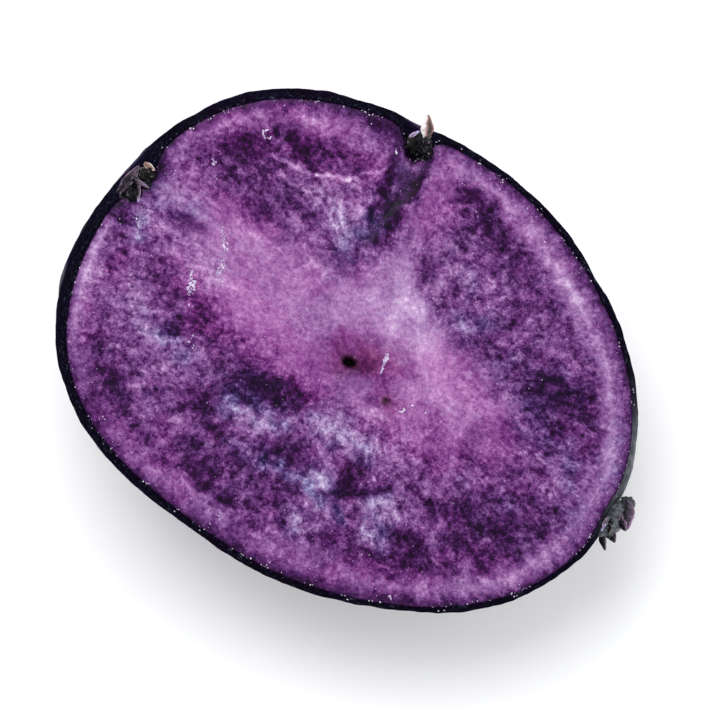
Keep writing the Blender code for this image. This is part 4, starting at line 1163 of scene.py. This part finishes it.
# %% Grain, flakes, islands, veins and rays of the flesh
grain, islands, veins, hues, wet, cells = (
    add_node(
        tree, "TexNoise",
        {"Vector": in_mm, "Scale": 1 / size, "Detail": detail, "Roughness": rough, "Distortion": bent},
    )
    for size, detail, rough, bent in (
        (GRAIN_MM, 3, 0.9, 0), (ISLAND_MM, 3, 0.65, 0), (VEIN_MM, 2, 0.5, 0.8),
        (HUE_MM, 2, 0.7, 0), (WET_MM, 2, 0.5, 0), (CELL_MM, 2, 0.6, 0),
    )
)
ray = add_node(tree, "TexNoise", {"Vector": ray_place, "Scale": 1.0, "Detail": 2, "Roughness": 0.6})
warped = add_node(tree, "MixRGB", (0.5, in_mm, grain.outputs["Color"]), blend_type="ADD")
flakes = add_node(tree, "TexVoronoi", {"Vector": warped, "Scale": 1 / FLAKE_MM})
flake = add_node(tree, "SeparateColor", (flakes.outputs["Color"],))
grain_even, flake_even, ray_even, vein_even, hue_even = (
    add_node(tree, "Math", (part, 0.5), operation="SUBTRACT") for part in (grain, flake, ray, veins, hues)
)
fine = add_node(tree, "Math", (grain_even, GRAIN_WEIGHT), operation="MULTIPLY")
flaky = add_node(tree, "Math", (flake_even, FLAKE_WEIGHT, fine), operation="MULTIPLY_ADD")
ray_seen = add_node(tree, "Math", (ray_even, ray_shows), operation="MULTIPLY")
both = add_node(tree, "Math", (ray_seen, RAY_WEIGHT, flaky), operation="MULTIPLY_ADD")
gain = add_node(tree, "Math", (grainy, 0.55, 0.95), operation="MULTIPLY_ADD")
island = add_node(tree, "MapRange", (islands, 0.52, 0.58, PALE_ISLAND, DARK_ISLAND))  # narrow, so crisp
vein_away = add_node(tree, "Math", (vein_even,), operation="ABSOLUTE")
vein = add_node(tree, "MapRange", (vein_away, 0, VEIN_WIDTH, VEIN_TONE, 0))
marks = add_node(tree, "Math", (island, vein), operation="ADD")
marked = add_node(tree, "Math", (marks, grainy, tone), operation="MULTIPLY_ADD")
grained = add_node(tree, "Math", (both, gain, marked), operation="MULTIPLY_ADD")
print("and has", len(tree.nodes), "with its grain")

# %% Colour of the flesh
violet, magenta, bluish = (
    add_node(tree, "ValToRGB", (grained,), stops=tuple(zip(STOPS, colours)))
    for colours in (VIOLET, MAGENTA, BLUISH)
)
pinker = add_node(tree, "Math", (hue_even, HUE_WEIGHT, pink), operation="MULTIPLY_ADD", use_clamp=True)
warm = add_node(tree, "MixRGB", (pinker, violet, magenta))
cool = add_node(tree, "MixRGB", (blue, warm, bluish))
browned = add_node(tree, "MixRGB", (brown, cool, BROWNING), blend_type="MULTIPLY")
# The walls of the pits: browning in part and painted shade in part.
slope_brown_and_shade = add_node(tree, "MapRange", (hollow, 0, 0.3, 0, 0.8))
pit_browned_and_shaded = add_node(tree, "MixRGB", (slope_brown_and_shade, browned, SLOPE_BROWN_AND_SHADE_COLOUR))
# The floors of the pits: painted shade, nearly black.
deep = add_node(tree, "MapRange", (hollow, 0.27, 0.65))
flesh_colour = add_node(tree, "MixRGB", (deep, pit_browned_and_shaded, PIT_SHADE_COLOUR))
print("and", len(tree.nodes), "with its colour")

# %% Gloss and cells of the flesh
rough = add_node(tree, "MapRange", (wet, 0, 1, 0.30, 0.46))
bump = add_node(tree, "Bump", {"Height": cells, "Strength": 0.6, "Distance": 0.10 * MM})
fill(tree, shader, {"Base Color": flesh_colour, "Roughness": rough, "Normal": bump})
print("flesh material has", len(tree.nodes), "nodes")

# %% [markdown]
# ## Corky skin, washed and dry
#
# The skin is a few layers of dead cork cells over cells full of pigment. It shows violet in some patches,
# wine red in others, and slate blue in others again, which is partly a painted sheen. Cork is close to
# 1.5 in IOR and half matt, and its surface is leathery at half a millimetre. Lenticels, the pores it
# breathes through, are pale brown dots a few millimetres apart. The pits of the eyes are darkened with
# painted shade. The first few millimetres below the cut are painted nearly black as shade, with painted
# glints in it, and this fades out over about 16; there the skin also loses its sheen. The band below the
# cut is seen at a grazing angle, where even a weak reflection would turn it grey, so its specular level
# falls to none. Grey flecks lie along its edge in places, soil in part and painted highlights in part,
# and beside the lowest shoot it is dusty, with a painted grey sheen.

# %% Material of the skin
# The slate colour on the next line is partly a painted sheen.
SKIN_VIOLET, SKIN_WINE, SKIN_SLATE_AND_SHEEN, SKIN_DARK = "361d58", "380a42", "282a44", "0d0918"
# The first two colours on the next line are painted shade under the cut and painted glints in it; the third
# is painted shade in the pits of the eyes.
SHADED_BAND_DARK, BAND_GLINT_COLOUR, EYE_SHADE_COLOUR = "050408", "1f2235", "08060c"
# On the next line, the dust colour also stands for a painted grey sheen, and the fleck colour is partly a
# painted highlight.
PORE_COLOUR, DUST_AND_SHEEN_COLOUR, FLECK_COLOUR = "705548", "74777c", "4a5260"
WINE_MM, SLATE_AND_SHEEN_MM, CLOUD_MM = 17.0, 10.0, 4.5  # how large the patches of each colour are
# The grey flecks along the edge of the cut are soil in part and painted highlights in part.
PORE_STEP_MM, PORE_MM, FLECK_MM = 4.2, 0.55, 0.8  # lenticels: how far apart and how wide; flecks of soil
# Cork cells are 0.03 mm wide, far too fine to show, so the dots and the leather are drawn coarser.
SPECKLE_MM, LEATHER_MM = 0.45, 0.6

tree, shader = new_material([skin], "cork_skin_washed", {"IOR": 1.5, "Specular IOR Level": 0.15})
in_mm = add_node(tree, "Mapping", {"Vector": add_node(tree, "TexCoord").outputs["Object"], "Scale": IN_MM})
eye_pit, near_cut, dust_and_sheen = (
    add_node(tree, "Attribute", attribute_name=title).outputs["Fac"] for title in skin_paint
)
hues, patches, clouds, speckle, flecks, leather = (
    add_node(
        tree, "TexNoise",
        {"Vector": in_mm, "Scale": 1 / size, "Detail": detail, "Roughness": rough, "Distortion": bent},
    )
    for size, detail, rough, bent in (
        (WINE_MM, 3, 0.5, 0.5), (SLATE_AND_SHEEN_MM, 4, 0.65, 0), (CLOUD_MM, 3, 0.6, 0),
        (SPECKLE_MM, 2, 0.7, 0), (FLECK_MM, 2, 0.6, 0), (LEATHER_MM, 3, 0.6, 0),
    )
)
print("skin material starts with", len(tree.nodes), "nodes")

# %% Masks for the layers of the skin
wine = add_node(tree, "MapRange", (hues, 0.4, 0.6))
# Patches of slate blue, partly a painted sheen.
slate_and_sheen = add_node(tree, "MapRange", (patches, 0.45, 0.7))
dark = add_node(tree, "MapRange", (clouds, 0.5, 0.7))
specks = add_node(tree, "MapRange", (speckle, 0.42, 0.68, 0, 0.6))
pores = add_node(tree, "TexVoronoi", {"Vector": in_mm, "Scale": 1 / PORE_STEP_MM})
pore_edge = 0.5 * PORE_MM / PORE_STEP_MM
pore = add_node(tree, "MapRange", (pores, pore_edge / 2, pore_edge, 0.8, 0))
# Painted shade in the pits of the eyes, darkest where a pit is deepest.
shaded = add_node(tree, "MapRange", (eye_pit, 0.15, 0.7, 0, 0.92))
# Painted shade: the skin under the cut is darkened nearly to black.
painted_shade = add_node(tree, "MapRange", (near_cut, 0.02, 0.94, 0, 0.95), interpolation_type="SMOOTHSTEP")
# Painted glints: pale specks in patches across that painted shade.
glint_patch = add_node(tree, "MapRange", (clouds, 0.35, 0.6, 0.2, 1))
glints = add_node(tree, "MapRange", (speckle, 0.5, 0.72, 0, glint_patch))
shaded_band = add_node(tree, "MixRGB", (glints, SHADED_BAND_DARK, BAND_GLINT_COLOUR))
# Grey flecks near the cut, soil in part and painted highlights in part.
fleck = add_node(tree, "MapRange", (flecks, 0.60, 0.70, 0, 0.45))
fleck_patch = add_node(tree, "MapRange", (clouds, 0.38, 0.54))
at_edge = add_node(tree, "MapRange", (near_cut, 0.90, 0.98, 0, fleck_patch))
flecked = add_node(tree, "Math", (fleck, at_edge), operation="MULTIPLY")
# Dust and a painted grey sheen beside the lowest shoot, broken up by the speckle.
mottled_dust_and_sheen = add_node(tree, "Math", (specks, -0.9, 1.0), operation="MULTIPLY_ADD")
dusty_and_sheen = add_node(tree, "Math", (dust_and_sheen, mottled_dust_and_sheen), operation="MULTIPLY", use_clamp=True)
print("and has", len(tree.nodes), "with its masks")

# %% Layers of the skin, one over the other
skin_colour = SKIN_VIOLET
for share, over in (
    (wine, SKIN_WINE), (slate_and_sheen, SKIN_SLATE_AND_SHEEN), (dark, SKIN_DARK), (specks, SKIN_DARK), (pore, PORE_COLOUR),
    (shaded, EYE_SHADE_COLOUR), (painted_shade, shaded_band), (flecked, FLECK_COLOUR), (dusty_and_sheen, DUST_AND_SHEEN_COLOUR),
):
    skin_colour = add_node(tree, "MixRGB", (share, skin_colour, over))
print("and", len(tree.nodes), "with its layers")

# %% Gloss and relief of the skin
rough = add_node(tree, "MapRange", (patches, 0, 1, 0.34, 0.56))
rougher = add_node(tree, "Math", (near_cut, 0.25, rough), operation="MULTIPLY_ADD")
matter = add_node(tree, "MapRange", (near_cut, 0, 0.7, 0.22, 0))
relief = add_node(tree, "Math", (pore, 0.6, leather), operation="MULTIPLY_ADD")
bump = add_node(tree, "Bump", {"Height": relief, "Strength": 0.8, "Distance": 0.22 * MM})
fill(tree, shader, {
    "Base Color": skin_colour, "Roughness": rougher, "Specular IOR Level": matter, "Normal": bump,
})
print("skin material has", len(tree.nodes), "nodes")

# %% [markdown]
# ## Bud scales, young and drying
#
# Buds and scales are young leaf tissue, almost black with pigment. Where a scale dries out, from the rim
# inwards, it turns brown, then a greyish pink, and matt. The painted paleness picks the colour on one
# ramp, and the gloss with it. Where some pigment is left in dry tissue, a violet cast turns the brown
# to lilac. Some buds are grey with dry soil, which sits in patches, and all buds and scales are dotted
# with small grey specks of painted highlight. Young leaves are waxy, with an IOR of 1.45, and a
# roughness that runs from 0.35 where they are alive to 0.65 where they are dry.

# %% Material of the shoots
SCALE_COLOURS = (
    (0.0, "040305"), (0.25, "0e0a0f"), (0.5, "54403f"), (0.72, "967468"), (0.9, "b9a6a6"), (1.0, "e0dadc"),
)
VIOLET_CAST = (0.86, 0.88, 1.6, 1.0)  # what the violet left in a dry scale does to red, green and blue
# The small grey specks on the buds and scales are painted highlights, drawn coarse enough to show.
MOTTLE_MM, BUD_GLINT_MM = 0.8, 0.4
SOIL_COLOUR, BUD_GLINT_COLOUR = "666b70", "9a939f"

tree, shader = new_material(shoots, "bud_scale_drying", {"IOR": 1.45, "Specular IOR Level": 0.2})
in_mm = add_node(tree, "Mapping", {"Vector": add_node(tree, "TexCoord").outputs["Object"], "Scale": IN_MM})
pale, grey, left_violet = (
    add_node(tree, "Attribute", attribute_name=title).outputs["Fac"] for title in ("pale", "grey", "violet")
)
mottle = add_node(tree, "TexNoise", {"Vector": in_mm, "Scale": 1 / MOTTLE_MM, "Detail": 3, "Roughness": 0.65})
bud_glint_noise = add_node(tree, "TexNoise", {"Vector": in_mm, "Scale": 1 / BUD_GLINT_MM, "Detail": 1})
mottled = add_node(tree, "Math", (mottle, 0.5), operation="SUBTRACT")
level = add_node(tree, "Math", (mottled, 0.6, pale), operation="MULTIPLY_ADD")
dry_colour = add_node(tree, "ValToRGB", (level,), stops=SCALE_COLOURS)
purpled = add_node(tree, "MixRGB", (left_violet, dry_colour, VIOLET_CAST), blend_type="MULTIPLY")
soil = add_node(tree, "MapRange", (mottle, 0.25, 0.65))
soiled = add_node(tree, "Math", (grey, soil), operation="MULTIPLY")
scale_colour = add_node(tree, "MixRGB", (soiled, purpled, SOIL_COLOUR))
# Painted highlights: small grey specks on buds and scales.
bud_glints = add_node(tree, "MapRange", (bud_glint_noise, 0.64, 0.76, 0, 0.5))
glinted_scale_colour = add_node(tree, "MixRGB", (bud_glints, scale_colour, BUD_GLINT_COLOUR))
rough = add_node(tree, "MapRange", (pale, 0, 1, 0.35, 0.65))
sheen = add_node(tree, "MapRange", (pale, 0, 0.5, 0.06, 0.4))
bump = add_node(tree, "Bump", {"Height": mottle, "Strength": 0.8, "Distance": 0.20 * MM})
fill(tree, shader, {
    "Base Color": glinted_scale_colour, "Roughness": rough, "Specular IOR Level": sheen, "Normal": bump,
})
print("scale material has", len(tree.nodes), "nodes")

# %% [markdown]
# ## Wet starch and painted glints
#
# Starch crumbs in sap are white with a good deal of the purple under them, and shiny, because each one
# is wrapped in a skin of water. Part of their whiteness is painted glints. A little noise keeps them
# from looking like paint.

# %% Material of the starch
THICK_MM = 1.1  # how far it is from thick starch to thin; a grain is 0.05 mm, too fine to show
tree, shader = new_material([starch_and_glints], "wet_starch_and_glints", {"IOR": 1.36, "Roughness": 0.22})
in_mm = add_node(tree, "Mapping", {"Vector": add_node(tree, "TexCoord").outputs["Object"], "Scale": IN_MM})
thick = add_node(tree, "TexNoise", {"Vector": in_mm, "Scale": 1 / THICK_MM, "Detail": 1})
starch_and_glint_colour = add_node(tree, "ValToRGB", (thick,), stops=((0.3, "8f73a2"), (0.7, "d6cce0")))
fill(tree, shader, {"Base Color": starch_and_glint_colour})
print("starch material has", len(tree.nodes), "nodes")

# %% [markdown]
# ## Tying the pieces to the solid
#
# The solid stays in the physics model for collision, and the finished pieces stand for it. They all
# ride on its one body, and each is listed beside the name of a material slot of the part's record.

# %% Ride and replace
slots = [(flesh, "cut_flesh"), (skin, "potato_skin"), (starch_and_glints, "cut_flesh")]
slots += [(shoot, "sprout_scale") for shoot in shoots]
for piece, slot in slots:
    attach(piece, "root")
    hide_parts("purple_potato_half")
print("pieces:", [piece.name for piece, slot in slots])

# %% [markdown]
# ## Table and light
#
# The half lies on a plain white table under large, soft lights. The main one stands high behind it, so
# its soft shadow falls towards the bottom of the picture, and a weaker one fills in from the right. The
# sky is a pale tent that is dark straight overhead, the part that the cut would mirror to the camera: a
# moist face that mirrors white would lose its colour.

# %% Table
floor_mesh = bpy.data.meshes.new("table")
floor_mesh.from_pydata([(-4, -4, 0), (4, -4, 0), (4, 4, 0), (-4, 4, 0)], [], [(0, 1, 2, 3)])
table = bpy.data.objects.new("table", floor_mesh)
bpy.context.scene.collection.objects.link(table)
new_material([table], "white_table_matt", {"Base Color": "fafafa", "Roughness": 0.9, "IOR": 1.3})
table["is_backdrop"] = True
print("table of", [round(side, 1) for side in table.dimensions], "m")

# %% Sky and lamps
IMAGE_RIGHT, IMAGE_UP = np.array([0.857, 0.515, 0.0]), np.array([-0.515, 0.857, 0.0])
world = bpy.data.worlds.new("light_tent")
bpy.context.scene.world = world
world.use_nodes = True
tree = world.node_tree
up = add_node(tree, "SeparateXYZ", (add_node(tree, "TexCoord").outputs["Generated"],))
tent_stops = ((0.0, "f6f7f9"), (0.78, "f6f7f9"), (0.9, "202022"))
tent = add_node(tree, "ValToRGB", (up.outputs["Z"],), stops=tent_stops)
fill(tree, tree.nodes["Background"], {"Color": tent, "Strength": 1.4})


def soft_lamp(name, right, above, height, size, watts):
    """A square lamp at these metres to the right, to the top and above the middle, aimed at the middle."""
    light = bpy.data.lights.new(name, "AREA")
    light.size, light.energy = size, watts
    lamp = bpy.data.objects.new(name, light)
    place = Vector(IMAGE_RIGHT * right + IMAGE_UP * above + np.array([0, 0, height]))
    lamp.matrix_world = Matrix.Translation(place) @ (-place).to_track_quat("-Z", "Y").to_matrix().to_4x4()
    bpy.context.scene.collection.objects.link(lamp)


soft_lamp("key_lamp", -0.45, 1.15, 2.5, 1.7, 43.0)
soft_lamp("fill_lamp", 2.0, 0.6, 1.8, 2.0, 8.0)
bpy.context.scene.view_settings.view_transform = "Standard"

# %% [markdown]
# ## Camera
#
# The photograph looks almost squarely at the cut, from a little towards its bud end, and the long
# axis of the half falls away to the right by 31 degrees. A long lens from 0.8 m keeps the perspective
# as flat as that of the photograph.

# %% Place the camera
VIEW_OFF, OFF_U, OFF_V = math.radians(3.0), -0.970, 0.242  # off square to the cut, and which way
AIM = np.array([1.0, 0.5, -4.0])  # mm in the frame of the cut
DISTANCE, FRAME_WIDTH = 0.8, 0.112  # metres
SENSOR_WIDTH = 36.0  # mm
back_way = np.array([OFF_U * math.sin(VIEW_OFF), OFF_V * math.sin(VIEW_OFF), math.cos(VIEW_OFF)])
right_way = unit(IMAGE_RIGHT - back_way * (IMAGE_RIGHT @ back_way))
up_way = np.cross(back_way, right_way)
view = np.eye(4)
view[:3, :3] = TURN @ np.stack([right_way, up_way, back_way], axis=-1)
view[:3, 3] = to_world(AIM) + view[:3, 2] * DISTANCE
camera_data = bpy.data.cameras.new("camera")
camera_data.sensor_width = SENSOR_WIDTH
camera_data.lens = SENSOR_WIDTH * DISTANCE / FRAME_WIDTH
camera = bpy.data.objects.new("camera", camera_data)
camera.matrix_world = Matrix(view.tolist())
bpy.context.scene.collection.objects.link(camera)
bpy.context.scene.camera = camera
print("camera lens", round(camera_data.lens), "mm, looks from", view[:3, 2].round(3))

# %% [markdown]
# ## Sizes and finish
#
# The last step writes the box of the solid and the box of the finished pieces side by side, so that
# they can be compared.

# %% Write both boxes and finish
sizes = {"cad": [list(corner) for corner in cad_box], "visual": [list(corner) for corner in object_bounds()]}
for name, box in sizes.items():
    print(name, "box in mm:", [[round(x / MM, 1) for x in corner] for corner in box])
